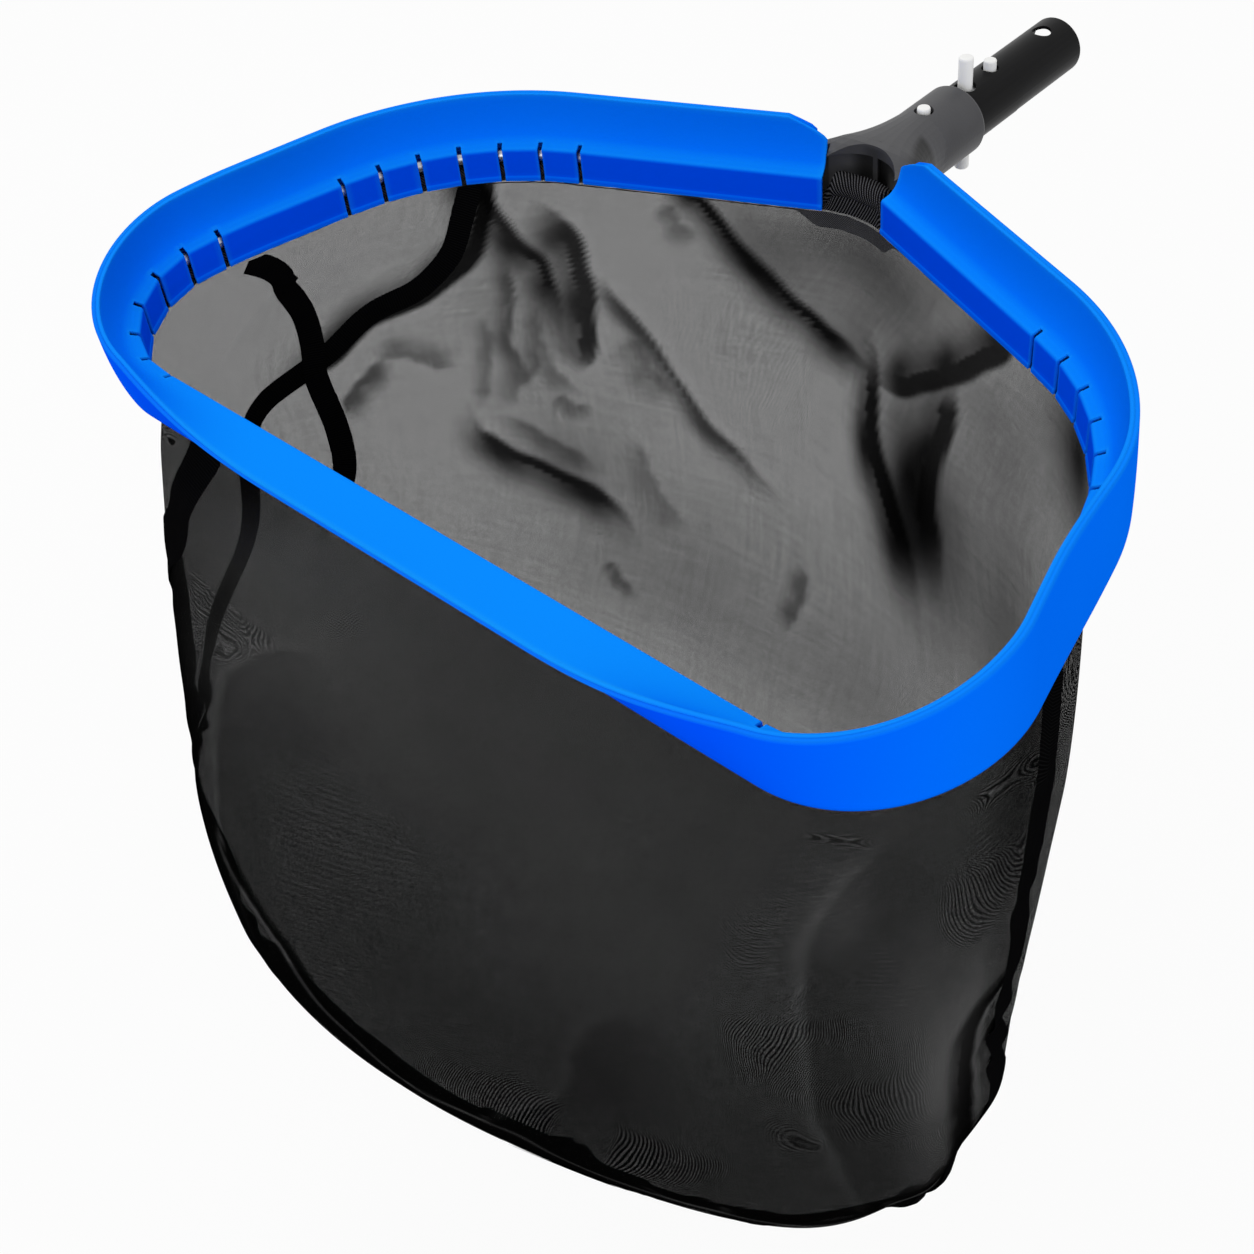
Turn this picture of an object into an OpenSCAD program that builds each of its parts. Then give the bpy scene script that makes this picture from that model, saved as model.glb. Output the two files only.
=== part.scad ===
// Pool leaf skimmer net: a deep mesh bag on a hoop, with a push-fit edge guard,
// a forked yoke and a spigot tube with sprung buttons.
// The origin is the centre of the spigot's free end. +Y points out along the pole,
// +Z points out of the net's mouth and the bag hangs below it.

/* [Spigot tube] */
// Outer diameter of the end that the pole slides over
spigot_d = 29; // [26:0.5:31]
// Length of the turned end
spigot_len = 52; // [46:1:54]
// Height of the step from the turned end to the rest of the tube
spigot_step = 0.25; // [0.2:0.05:0.6]
// Wall of the tube at its turned end
tube_wall = 1.6; // [1.2:0.1:2.2]
// Diameter of the cross hole near the free end
cross_hole_d = 10; // [6:0.5:11]
// Distance of the cross hole from the free end
cross_hole_y = 15; // [10:0.5:17]

/* [Spring clips] */
// Width of the spring strip
strip_w = 8; // [6:0.5:9]
// Thickness of the spring strip
strip_t = 1; // [0.6:0.1:1.4]
// Gap between the strip and the inside of the tube
strip_air = 0.8; // [0.5:0.1:1.5]
// Distance from the turned end's step to the lock pins
lock_pin_gap = 8; // [7:0.5:12]
// Reach of the lock clip's arms, from its bow's centre to the lock pins
lock_reach = 24; // [22:0.5:25]
// Diameter of the lock pins
lock_pin_d = 6.4; // [5:0.2:7]
// Height of the lock pins above the tube
lock_pin_rise = 4.2; // [3:0.1:5]
// Distance from the lock pins to the squeeze buttons
squeeze_gap = 21; // [18:0.5:24]
// Distance from the squeeze buttons to the rim of the yoke's socket
socket_gap = 7; // [6:0.5:12]
// Diameter of the squeeze buttons
squeeze_d = 7.2; // [6:0.2:8]
// Height of the squeeze buttons above the tube
squeeze_rise = 15; // [10:0.5:18]
// Gap between the spring arms and the bow they turn on
hinge_air = 0.15; // [0.12:0.01:0.25]
// Gap round the lock pins in their holes
lock_hole_air = 1.1; // [1:0.1:1.4]
// Gap round the squeeze buttons in their holes
squeeze_hole_air = 1.8; // [1.7:0.1:2]
// Distance of the retaining clip's bow centre from the yoke end of the tube
keep_bow_y = 14; // [13:0.5:16]
// Distance of the retaining buttons from the yoke end of the tube
keep_pin_y = 31; // [29:0.5:33]
// Diameter of the retaining buttons
keep_pin_d = 6.4; // [5:0.2:7]
// Height of the retaining buttons above the socket
keep_pin_rise = 1.5; // [0.8:0.1:2.5]
// Gap round the retaining buttons in their holes
keep_hole_air = 1.5; // [1.4:0.1:2]

/* [Yoke] */
// Wall of the yoke's socket
socket_wall = 2.8; // [2:0.1:4]
// Gap between the tube and the socket all round
socket_air = 0.15; // [0.1:0.05:0.3]
// Length of tube inside the socket
socket_depth = 58; // [52:1:60]
// Rounding of the socket's rim
socket_round = 1.6; // [0.5:0.1:2.4]
// Gap between the tube and the end wall behind it
web_air = 0.3; // [0.2:0.05:0.6]
// Thickness of the end wall behind the tube
yoke_web = 3; // [2:0.2:5]
// Thickness of the yoke's wings
wing_t = 4.8; // [3:0.2:7]
// Length of each wing behind the guard
wing_len = 38; // [32:1:60]
// Height of the wings' top above the hoop's centre
wing_up = 10; // [8:0.5:12]
// Height of the wings' foot below the hoop's centre
wing_down = 11; // [8:0.5:12]
// Length of the flare, up to the end of the tube
flare_len = 28; // [22:1:34]
// How far the flare widens on each side
flare_spread = 33; // [26:0.5:38]
// How far the flare's top comes down
flare_drop = 6.5; // [4:0.5:9]
// How far the flare's underside comes up
flare_rise = 4; // [2:0.5:7]
// Distance of the flare's end from the guard's ends
rim_inset = 4.8; // [3:0.2:7]
// Gap between the flare and the guard's ends
end_air = 0.6; // [0.4:0.1:1.5]
// Radius of the arched mouth
mouth_r = 22; // [19:0.5:24]
// Distance of the mouth's centre in front of the guard's ends
mouth_back = 3.2; // [2.6:0.1:5]
// Height of the underside of the mouth's roof
roof_z = 11; // [9:0.5:12]
// How far the roof reaches over the mouth
roof_lip = 3; // [1:0.2:3.4]
// Thickness of the rib in the mouth
rib_t = 2.6; // [2:0.1:4]
// Diameter of the hoop screws
screw_d = 3; // [2.5:0.1:3.6]
// Diameter of the screw heads
screw_head_d = 7; // [6:0.2:8]
// Height of the screw heads
screw_head_h = 2; // [1.4:0.1:3]
// Distance of the first hoop screw from the guard's end
screw_first = 18.8; // [18.5:0.1:19.5]
// Distance between the hoop screws
screw_pitch = 9.5; // [8:0.1:10]
// Gap round the screws in the yoke
screw_air = 0.1; // [0.05:0.05:0.2]

/* [Rim] */
// Gap between the guard's ends at the ridge
rim_gap = 34.4; // [30:0.2:40]
// Distance from the tube's end to the guard's ends
rim_back = 25.8; // [25:0.1:30]
// Height of the guard's ridge above the tube's axis
ridge_z = 4.4; // [2:0.1:6]
// Angle of the back straights to the front edge
back_angle = 22.9; // [18:0.1:27]
// Length of each back straight
back_len = 126.3; // [110:0.1:150]
// Radius of the shoulders
shoulder_r = 125.3; // [110:0.1:140]
// Angle of the side straights to the front edge
side_angle = 75.6; // [70:0.1:82]
// Length of each side straight
side_len = 77.9; // [60:0.1:120]
// Radius of the front corners
corner_r = 51.2; // [45:0.1:60]
// How far the front edge dips below the rest
front_dip = 13.5; // [0:0.5:20]
// Length over which the front dips
dip_len = 97.5; // [70:0.5:120]

/* [Guard] */
// Thickness of the guard's walls
guard_wall = 1.8; // [1.4:0.1:2.2]
// Height of the guard's inner wall
guard_h = 18; // [17:0.5:22]
// Width of the guard's channel at its foot, at the yoke
guard_w_back = 14.6; // [13.6:0.1:18]
// Width of the guard's channel at its foot, along the sides and front
guard_w_side = 11.4; // [11.2:0.1:14]
// Length of the lip, from ridge to edge
lip_len = 25.6; // [18:0.2:32]
// Angle of the lip at the yoke
lip_back_angle = 64.5; // [50:0.5:75]
// Angle of the lip along the sides
lip_side_angle = 77.3; // [60:0.5:82]
// Angle of the lip at the front, where it lies out as a scoop
lip_front_angle = 4.6; // [0:0.5:15]
// Width of the flat ledge beside the ridge
ledge_w = 11; // [8:0.5:13]
// Length over which the guard's ends slope back
end_slope = 19; // [10:0.5:25]
// Height of the bead at the foot of the inner wall
bead_h = 2.4; // [1.5:0.1:4]
// How far the bead stands proud
bead_t = 0.5; // [0.2:0.1:1]

/* [Guard slits] */
// Width of a slit
slit_w = 2.3; // [1.5:0.1:4]
// Number of slits in each shoulder and each front corner
slit_n = 7; // [3:1:7]
// Distance of the first shoulder slit from the guard's end
slit_start_a = 122.8; // [110:0.1:130]
// Spacing of the shoulder slits
slit_pitch_a = 20; // [16:0.1:22]
// Distance of the first corner slit from the guard's end
slit_start_b = 309.4; // [300:0.1:315]
// Spacing of the corner slits
slit_pitch_b = 18.2; // [14:0.1:20]
// How far a slit runs into the ledge
slit_in = 4.3; // [3:0.1:6]

/* [Hoop and hem] */
// Diameter of the hoop
hoop_d = 7; // [6:0.1:7.2]
// Gap between the hoop and the guard's inner wall
hoop_air = 0.3; // [0.2:0.05:0.5]
// Depth of the hoop's centre below the ridge
hoop_drop = 6.5; // [6:0.1:7]
// Diameter of the net's rolled hem
hem_d = 6.8; // [5:0.1:7]
// Gap between the hem and the foot of the guard
hem_air = 0.3; // [0.2:0.05:0.6]
// Diameter of the hem where it crosses between the guard's ends
hem_full_d = 9.4; // [7.5:0.1:9.6]
// How far the hem sags where it crosses
hem_sag = 1; // [0.6:0.1:1.4]
// How far the hem stands back where it crosses
hem_shift = 0.7; // [0.5:0.1:1.2]
// Height of the stitched band below the hem
band_h = 8; // [5:0.5:14]
// Thickness of the stitched band
band_t = 1.2; // [0.8:0.1:2]

/* [Bag] */
// Depth of the bag below the guard
bag_depth = 449; // [380:1:500]
// Thickness of the mesh sheet
mesh_t = 1.2; // [0.8:0.1:2]
// Gap between the bag and what it hangs beside
mesh_air = 0.3; // [0.2:0.05:0.6]
// Half width of the bag below the rim
bag_half_w = 236.5; // [225:0.5:240]
// How much narrower the bag is at its bottom, as a share of its width
bag_taper = 0.09; // [0:0.01:0.2]
// Half thickness of the bag below the rim, from front to back
bag_half_t = 107; // [80:1:120]
// Half thickness of the bag at its bottom seam
bag_end_t = 18; // [14:1:30]
// Distance of the bag's middle behind the front edge, below the rim
bag_mid_y = 86; // [60:0.5:110]
// Depth at which the bag starts to round in
round_from = 244; // [180:1:300]
// How far the bag's bottom hangs to the right
sway_x = 17.6; // [0:0.2:40]
// How far the bag's bottom hangs forward
sway_y = 88.6; // [0:0.2:120]
// Turn of the bag's bottom about the vertical
bag_turn = 17; // [0:0.5:30]
// Depth over which the bag's front and sides leave the rim's outline
neck_front = 54; // [30:1:100]
// Depth over which the bag's back leaves the rim's outline
neck_back = 186; // [120:1:240]
// How far round the left seam starts towards the front, in degrees
seam_swing = 46; // [0:1:50]
// Width of the binding tapes
tape_w = 20; // [10:0.5:26]
// Thickness of the binding tapes
tape_t = 1; // [0.6:0.1:1.6]
// Room between the outer tapes and the mesh
tape_air = 0.96; // [0.9:0.02:1]
// Room between the inner tapes and the mesh, where they bridge its curve
inner_air = 1.5; // [1.4:0.1:2.5]
// Room between the two inner tapes where they cross
cross_air = 1.8; // [1.5:0.1:2.5]

/* [Hidden] */
fine = 96;
black = [0.07, 0.07, 0.075];
steel = [0.72, 0.73, 0.74];
white = [0.92, 0.92, 0.9];
blue = [0.03, 0.42, 0.94];

// Tube and clips, measured from the free end
lock_pin_y = spigot_len + lock_pin_gap;
lock_bow_y = lock_pin_y - lock_reach;
squeeze_y = lock_pin_y + squeeze_gap;
socket_rim_y = squeeze_y + socket_gap;
tube_len = socket_rim_y + socket_depth;
tube_d = spigot_d + 2*spigot_step;
tube_ir = spigot_d/2 - tube_wall;
strip_out = tube_ir - strip_air;
strip_in = strip_out - strip_t;
arm_mid = (strip_out + strip_in)/2;
lock_end_y = squeeze_y + squeeze_d/2 + 2;
keep_y = tube_len - keep_pin_y;
keep_bow_at = tube_len - keep_bow_y;
keep_end_y = keep_y - keep_pin_d/2 - 2;

// Yoke
socket_r = tube_d/2 + socket_air + socket_wall;
web_y = tube_len + web_air;
yoke_front_y = web_y + yoke_web;

// Rim outline, followed from the middle of the gap round the right half to the front
function ahead(h) = [cos(h), -sin(h)];
function outward(h) = [sin(h), cos(h)];
bridge_r = rim_gap/2/sin(back_angle);
bridge_len = bridge_r*back_angle*PI/180;
rim_y = -(tube_len + rim_back);
rim_start = [rim_gap/2, rim_y];
shoulder_at = back_len;
side_at = shoulder_at + shoulder_r*(side_angle - back_angle)*PI/180;
corner_at = side_at + side_len;
front_at = corner_at + corner_r*(180 - side_angle)*PI/180;
shoulder_c = rim_start + back_len*ahead(back_angle) - shoulder_r*outward(back_angle);
side_start = shoulder_c + shoulder_r*outward(side_angle);
corner_c = side_start + side_len*ahead(side_angle) - corner_r*outward(side_angle);
front_y = corner_c.y - corner_r;
half_len = front_at + corner_c.x;
bridge_c = rim_start - bridge_r*outward(back_angle);

function heading(s) =
    s < 0 ? back_angle*(1 + s/bridge_len)
    : s < shoulder_at ? back_angle
    : s < side_at ? back_angle + (s - shoulder_at)/shoulder_r*180/PI
    : s < corner_at ? side_angle
    : s < front_at ? side_angle + (s - corner_at)/corner_r*180/PI
    : 180;
function rim_xy(s) =
    s < 0 ? bridge_c + bridge_r*outward(heading(s))
    : s < shoulder_at ? rim_start + s*ahead(back_angle)
    : s < side_at ? shoulder_c + shoulder_r*outward(heading(s))
    : s < corner_at ? side_start + (s - side_at)*ahead(side_angle)
    : s < front_at ? corner_c + corner_r*outward(heading(s))
    : [half_len - s, front_y];
function ridge_at(y) = ridge_z - front_dip*pow(max(0, (front_y + dip_len - y)/dip_len), 2);

// A point beside the ridge: s along the rim, o outward, z above the ridge.
// Past the front's middle the outline is the mirror image.
function beside(s, o, z) =
    let(far = s > half_len, back = s < -bridge_len)
    let(q = far ? 2*half_len - s : back ? -2*bridge_len - s : s)
    let(p = rim_xy(q), v = p + o*outward(heading(q)))
    [(far || back ? -1 : 1)*v.x, v.y, ridge_at(p.y) + z];

// Smooth step from 0 at a to 1 at b
function ease(a, b, x) = let(u = min(1, max(0, (x - a)/(b - a)))) u*u*(3 - 2*u);

// Guard section
function share(s) = min(s, 2*half_len - s)/half_len;
function lip_angle(s) =
    let(t = share(s), side = lip_back_angle + (lip_side_angle - lip_back_angle)*ease(0.35, 0.5, t))
    side + (lip_front_angle - side)*ease(0.56, 0.87, t);
function guard_w(s) = guard_w_back + (guard_w_side - guard_w_back)*ease(0.4, 0.6, share(s));
lip_steps = 5;
function lip_pt(s, u) =
    let(a = lip_angle(s), tip = lip_len*[cos(a), sin(a)])
    2*u*(1 - u)*[ledge_w, 0] + u*u*tip;
function lip_back(s, u) =
    let(a = lip_angle(s), tip = lip_len*[cos(a), sin(a)])
    let(d = 2*(1 - u)*[ledge_w, 0] + 2*u*(tip - [ledge_w, 0]))
    lip_pt(s, u) + guard_wall*[d.y, -d.x]/norm(d);
function end_share(u) = pow(max(0, 4*u - 3), 1.5);
// Each entry is [outward, height, how far the end slopes back there]
function guard_section(s) = let(w = guard_w(s)) concat(
    [[-bead_t, -guard_h, 0], [-bead_t, bead_h - guard_h, 0], [0, bead_h + bead_t - guard_h, 0]],
    [for (i = [0:lip_steps]) let(u = i/lip_steps, p = lip_pt(s, u)) [p.x, p.y, end_share(u)]],
    [for (i = [lip_steps:-1:3]) let(u = i/lip_steps, p = lip_back(s, u)) [p.x, p.y, end_share(u)]],
    [[w, -guard_wall/2, 0], [w, -guard_h, 0], [w - guard_wall, -guard_h, 0],
     [w - guard_wall, -guard_wall, 0], [guard_wall, -guard_wall, 0], [guard_wall, -guard_h, 0]]);
// The cut end, in flat pieces: the inner wall, the ledge, the outer wall and the lip in triangles.
// The points count up from the bead's foot.
guard_cap = [[0, 1, 2, 3, 16, 17], [3, 4, 5, 6, 11, 12, 15, 16], [12, 13, 14, 15],
    [6, 7, 10], [6, 10, 11], [7, 8, 9], [7, 9, 10]];
function guard_caps(rows, n) = concat([for (f = guard_cap) [for (j = [len(f) - 1:-1:0]) f[j]]],
    [for (f = guard_cap) [for (j = f) (rows - 1)*n + j]]);
function sloped(s, k) =
    let(q = min(s, 2*half_len - s), r = q + k*end_slope*max(0, 1 - q/(3*end_slope)))
    s > half_len ? 2*half_len - r : r;

// Stations along the rim, closer together where it bends
function stops(a, b, n) = [for (i = [0:n - 1]) a + (b - a)*i/n];
half_stops = concat(stops(0, 3*end_slope, 4), stops(3*end_slope, shoulder_at, 2),
    stops(shoulder_at, side_at, 10), stops(side_at, corner_at, 5),
    stops(corner_at, front_at, 14), stops(front_at, half_len, 6));
rim_stops = concat(half_stops, [half_len],
    [for (i = [len(half_stops) - 1:-1:0]) 2*half_len - half_stops[i]]);
bridge_stops = stops(-bridge_len*2, 0, 8);

// Side walls between rings of n points, which run one after another. A loop joins the last to the first.
function ring_walls(rows, n, loop = false) = [for (i = [0:rows - (loop ? 1 : 2)], j = [0:n - 1])
    let(here = i*n, next = (i + 1)%rows*n, k = (j + 1)%n)
    each [[here + j, here + k, next + k], [here + j, next + k, next + j]]];
function ring_caps(rows, n) = [[for (j = [n - 1:-1:0]) j], [for (j = [0:n - 1]) (rows - 1)*n + j]];

// A round bar that follows the rim. Each stop is [s, outward, height, radius].
module rim_bar(route, sides, loop = false) {
    rings = [for (p = route, k = [0:sides - 1]) let(a = -(k + 0.5)*360/sides)
        beside(p[0], p[1] + p[3]*cos(a), p[2] + p[3]*sin(a))];
    polyhedron(rings, concat(ring_walls(len(route), sides, loop), loop ? [] : ring_caps(len(route), sides)));
}

hoop_o = guard_wall + hoop_air + hoop_d/2;
hem_o = guard_wall + hoop_air + hem_d/2;
hem_drop = guard_h - hem_d/2 - hem_air;
hoop_end = 1.5; // how far the hoop's ends stand in the guard
hoop_stops = [for (s = rim_stops)
    [min(max(s, hoop_end), 2*half_len - hoop_end), hoop_o, -hoop_drop, hoop_d/2]];
// The rolled hem is slack and fuller where it crosses between the guard's ends
function hem_slack(s) = 1 - ease(0.7, 1, abs(s + bridge_len)/bridge_len);
hem_stops = [for (s = concat(bridge_stops, [for (s = rim_stops) if (s < 2*half_len) s])) let(k = hem_slack(s))
    [s, hem_o + hem_shift*k, -hem_drop - hem_sag*k, (hem_d + (hem_full_d - hem_d)*k)/2]];

// Where the wings and their screws are, measured outward from the ridge
wing_in = guard_w_back + mesh_air;
wing_out = wing_in + wing_t;
wing_from = -9; // how far the wings run back into the flare
screw_at = [screw_first, screw_first + screw_pitch];

// Puts a child at s along the right back straight, with +X along it and +Y outward
module on_back(s, z = 0) {
    p = rim_xy(s);
    translate([p.x, p.y, ridge_z + z]) rotate([0, 0, -back_angle]) children();
}
module both_sides() {
    children();
    mirror([1, 0, 0]) children();
}
module along_y(y, r, len) translate([0, -y, 0]) rotate([90, 0, 0]) cylinder(r = r, h = len, $fn = fine);
module hoop_screw_bars(r, from, to) {
    both_sides() for (s = screw_at) on_back(s, -hoop_drop)
        translate([0, from, 0]) rotate([-90, 0, 0]) cylinder(r = r, h = to - from, $fn = 32);
}

// Bag: rings of points at a share v of its depth, 0 at the rim and 1 at the bottom.
// The width closes as a quarter ellipse below round_from.
round_v = 0.45;
close_angle = 89;
close_power = 1.43;
thin_power = 3.5;
sway_power = 0.81;
bag_square = 2.6;
neck_stretch = 1.6;
bag_cols = 32;
bag_rows = 20;
row_power = 1.3; // packs the rows closer together near the rim
function row_v(i) = pow(i/bag_rows, row_power);
function round_angle(v) = max(0, close_angle*(v - round_v)/(1 - round_v));
function bag_drop(v) = v < round_v ? round_from*v/round_v
    : round_from + (bag_depth - round_from)*pow(sin(round_angle(v)), 1/close_power);
function bag_a(v) = bag_half_w*(1 - bag_taper*bag_drop(v)/bag_depth)*cos(round_angle(v));
function bag_b(v) =
    min(bag_a(v), bag_end_t + (bag_half_t - bag_end_t)*(1 - pow(bag_drop(v)/bag_depth, thin_power)));
function signed(x, p) = sign(x)*pow(abs(x), p);

// The rim's outline as seen from a point inside it, so that a direction finds its place s
look_share = 0.573;
look_from = [0, rim_y + look_share*(front_y - rim_y)];
rim_seat = guard_wall/2;
angle_table = [for (i = [0:120]) let(s = -bridge_len + (half_len + bridge_len)*i/120,
    p = beside(s, rim_seat, 0), d = [p.x, p.y] - look_from) [-atan2(d.y, d.x), s]];
function rim_toward(a) = let(w = a > 90 ? a - 360 : a, left = w < -90 || w > 90)
    let(m = w < -90 ? -180 - w : w, s = lookup(-m, angle_table), p = beside(s, rim_seat, 0))
    [(left ? -1 : 1)*p.x, p.y, p.z];

// The left seam starts near the front corner and swings round to the side
function seam_shift(v, a) = seam_swing*(1 - cos(a))/2*(1 - ease(0, 0.3, v));

// The middle of the mesh at a share v of the depth, in a direction a round the bag
function bag_mid(v, a0) =
    let(a = a0 + seam_shift(v, a0), d = bag_drop(v), t = d/bag_depth)
    let(neck = neck_front + (neck_back - neck_front)*max(0, sin(a)), w = ease(0, neck, d))
    let(k = pow(pow(abs(cos(a)), bag_square) + pow(abs(sin(a)), bag_square), 1/bag_square))
    let(cx = cos(a)/k, cy = sin(a)/k, psi = bag_turn*t)
    let(ex = bag_a(v)*cx, ey = bag_b(v)*cy, hang = pow(t, sway_power))
    let(low = [ex*cos(psi) - ey*sin(psi) + sway_x*hang,
        ex*sin(psi) + ey*cos(psi) + front_y + bag_mid_y - sway_y*hang])
    let(top = rim_toward(atan2(bag_half_t*neck_stretch*cy, bag_half_w*cx)))
    [top.x + (low.x - top.x)*w, top.y + (low.y - top.y)*w, top.z - guard_h - mesh_air - d*(1 - w)
        - (d + top.z - ridge_z)*w];
function unit(v) = v/norm(v);
function bag_across(v, a) = unit(bag_mid(v, a + 2) - bag_mid(v, a - 2));
function bag_normal(v, a) =
    unit(cross(bag_mid(min(1, v + 0.01), a) - bag_mid(max(0, v - 0.01), a), bag_across(v, a)));

// Broad hollows in the slack cloth: [share of the depth, direction, depth]
hollows = [[0.15, 64, 8], [0.12, 103, 4], [0.25, 110, 6], [0.2, 88, 5], [0.27, 320, 8], [0.27, 240, 7],
    [0.5, 283, 6], [0.62, 335, 5], [0.62, 55, 6], [0.62, 125, 6]];
hollow_high = 0.09; // as a share of the depth
hollow_wide = 10; // in degrees
function turn_between(a, b) = (a - b + 540)%360 - 180;
function total(list, i = 0) = i < len(list) ? list[i] + total(list, i + 1) : 0;
function bag_sag(v, a) = ease(0.02, 0.09, v)*total([for (h = hollows)
    h[2]*exp(-pow((v - h[0])/hollow_high, 2) - pow(turn_between(a, h[1])/hollow_wide, 2))]);
function bag_pt(v, a, off) = bag_mid(v, a) + (off - bag_sag(v, a))*bag_normal(v, a);

// A thin closed sheet between two grids of points, near its outside and away from it.
// Each grid runs along its rows first.
module thin_sheet(near, away, rows, cols) {
    m = cols + 1;
    face = m*(rows + 1);
    skin = [for (i = [0:rows - 1], j = [0:cols - 1]) let(p = i*m + j)
        each [[p, p + 1, p + m + 1], [p, p + m + 1, p + m]]];
    edge = concat([for (j = [0:cols]) j], [for (i = [1:rows]) i*m + cols],
        [for (j = [cols - 1:-1:0]) rows*m + j], [for (i = [rows - 1:-1:1]) i*m]);
    // Each side's diagonal runs the same way from both ends, so that sheets sewn edge to edge meet exactly
    rim = [for (k = [0:len(edge) - 1]) let(p = edge[k], q = edge[(k + 1)%len(edge)])
        each q > p ? [[q, p, p + face], [q, p + face, q + face]]
            : [[q, p, q + face], [p, p + face, q + face]]];
    back = [for (f = skin) [f[2] + face, f[1] + face, f[0] + face]];
    color(black) polyhedron(concat(near, away), concat(skin, back, rim));
}
// Directions of the two seams, which swing toward the front again near the bottom
seam_drift = 20;
bottom_drift = 55;
function left_seam(v) = 180 + seam_drift*(ease(0, 0.14, v) + ease(0.72, 0.9, v));
function right_seam(v) = -bottom_drift*ease(0.5, 0.97, v);
// A direction at a share of the way across a panel, from its first seam to its second
function across(front, v, share) = let(a = left_seam(v), b = right_seam(v))
    front ? a + (360 + b - a)*share : b + (a - b)*share;
function bag_grid(front, off) = [for (i = [0:bag_rows], j = [0:bag_cols])
    bag_pt(row_v(i), across(front, row_v(i), j/bag_cols), off)];
module bag_panel(front)
    thin_sheet(bag_grid(front, mesh_t/2), bag_grid(front, -mesh_t/2), bag_rows, bag_cols);

// A flat tape whose middle follows stops of [v, a] on the bag, off outside the mesh
function tape_grid(route, off) =
    let(last = len(route) - 1, mids = [for (r = route) bag_mid(r[0], r[1])])
    [for (i = [0:last], r = [route[i]]) let(n = bag_normal(r[0], r[1]), p = bag_pt(r[0], r[1], off))
        let(side = unit(cross(n, mids[min(last, i + 1)] - mids[max(0, i - 1)]))*tape_w/2)
        each [p - side, p + side]];
module tape(route, off) thin_sheet(tape_grid(route, off + tape_t), tape_grid(route, off), len(route) - 1, 1);
tape_off = mesh_t/2 + tape_air;
inner_off = -tape_off - tape_t - inner_air;
// The seam tapes bend with the mesh, row by row
seam_cols = 6;
seam_last = 18;
function seam_at(left, v) = left ? left_seam(v) : right_seam(v);
function seam_mid(left, v) = bag_mid(v, seam_at(left, v));
function seam_grid(left, off) = [for (i = [1:seam_last], k = [0:seam_cols])
    let(v = row_v(i), a = seam_at(left, v), step = bag_mid(v, a + 1) - bag_mid(v, a))
    let(slant = norm(cross(unit(step), unit(seam_mid(left, v + 0.01) - seam_mid(left, v - 0.01)))))
    bag_pt(v, a + tape_w/2/norm(step)/slant*(2*k/seam_cols - 1), off)];
module seam_tape(left)
    thin_sheet(seam_grid(left, tape_off + tape_t), seam_grid(left, tape_off), seam_last - 1, seam_cols);
// The bottom tape passes in front of the bag's lowest point and joins the two seam tapes
bottom_route = [[0.9, 219], [0.93, 225], [0.95, 243], [0.955, 264], [0.95, 286], [0.93, 303], [0.905, 308]];
bottom_air = 1.1;
// The gusset tape crosses the bag's left wall from the back of the rim down to the left seam
gusset_stops = [[0.03, 115], [0.06, 116], [0.095, 121], [0.12, 128], [0.14, 137], [0.16, 148],
    [0.19, 160], [0.23, 166], [0.28, 172], [0.32, 181], [0.37, 191], [0.42, 197], [0.47, 199]];
// The side tape hangs from the rim and crosses the gusset tape
side_stops = [[0.03, 144], [0.065, 139], [0.118, 136], [0.15, 137], [0.2, 139], [0.25, 143], [0.27, 148]];

module handle_tube() {
    color(black) difference() {
        union() {
            along_y(0, spigot_d/2, spigot_len);
            along_y(spigot_len, tube_d/2, tube_len - spigot_len);
        }
        along_y(-1, tube_ir, tube_len + 2);
        translate([0, -cross_hole_y, -spigot_d]) cylinder(d = cross_hole_d, h = 2*spigot_d, $fn = fine);
        hole_through(lock_pin_y, lock_pin_d/2 + lock_hole_air);
        hole_through(squeeze_y, squeeze_d/2 + squeeze_hole_air);
        hole_through(keep_y, keep_pin_d/2 + keep_hole_air);
    }
}
module hole_through(y, r) translate([0, -y, -3*spigot_d]) cylinder(r = r, h = 6*spigot_d, $fn = fine);

// Half ring of strip, bulging toward +Y when way is 1
module clip_bow(y, way) {
    color(steel) translate([0, -y, 0]) rotate([0, 90, 0]) rotate([0, 0, way > 0 ? 0 : 180])
        rotate_extrude(angle = 180, $fn = fine) translate([strip_in, -strip_w/2]) square([strip_t, strip_w]);
}
module clip_arm(from, to, up) {
    color(steel) translate([-strip_w/2, -max(from, to), up > 0 ? strip_in : -strip_out])
        cube([strip_w, abs(to - from), strip_t]);
}
// A button that stands on the strip, with a domed end
module button(y, d, top, up) {
    dome = d/8;
    color(white) translate([0, -y, 0]) rotate([up > 0 ? 0 : 180, 0, 0]) rotate_extrude($fn = fine)
        polygon([[0, strip_out], [d/2, strip_out], [d/2, top - dome], [d/2 - dome*0.3, top - dome*0.3],
            [d/2 - dome, top], [0, top]]);
}
module lock_clip_bow() clip_bow(lock_bow_y, 1);
module lock_arm_upper() clip_arm(lock_bow_y + hinge_air, lock_end_y, 1);
module lock_arm_lower() clip_arm(lock_bow_y + hinge_air, lock_end_y, -1);
module lock_pin_upper() button(lock_pin_y, lock_pin_d, tube_d/2 + lock_pin_rise, 1);
module lock_pin_lower() button(lock_pin_y, lock_pin_d, tube_d/2 + lock_pin_rise, -1);
module squeeze_button_upper() button(squeeze_y, squeeze_d, tube_d/2 + squeeze_rise, 1);
module squeeze_button_lower() button(squeeze_y, squeeze_d, tube_d/2 + squeeze_rise, -1);
module keep_clip_bow() clip_bow(keep_bow_at, -1);
module keep_arm_upper() clip_arm(keep_bow_at - hinge_air, keep_end_y, 1);
module keep_arm_lower() clip_arm(keep_bow_at - hinge_air, keep_end_y, -1);
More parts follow.
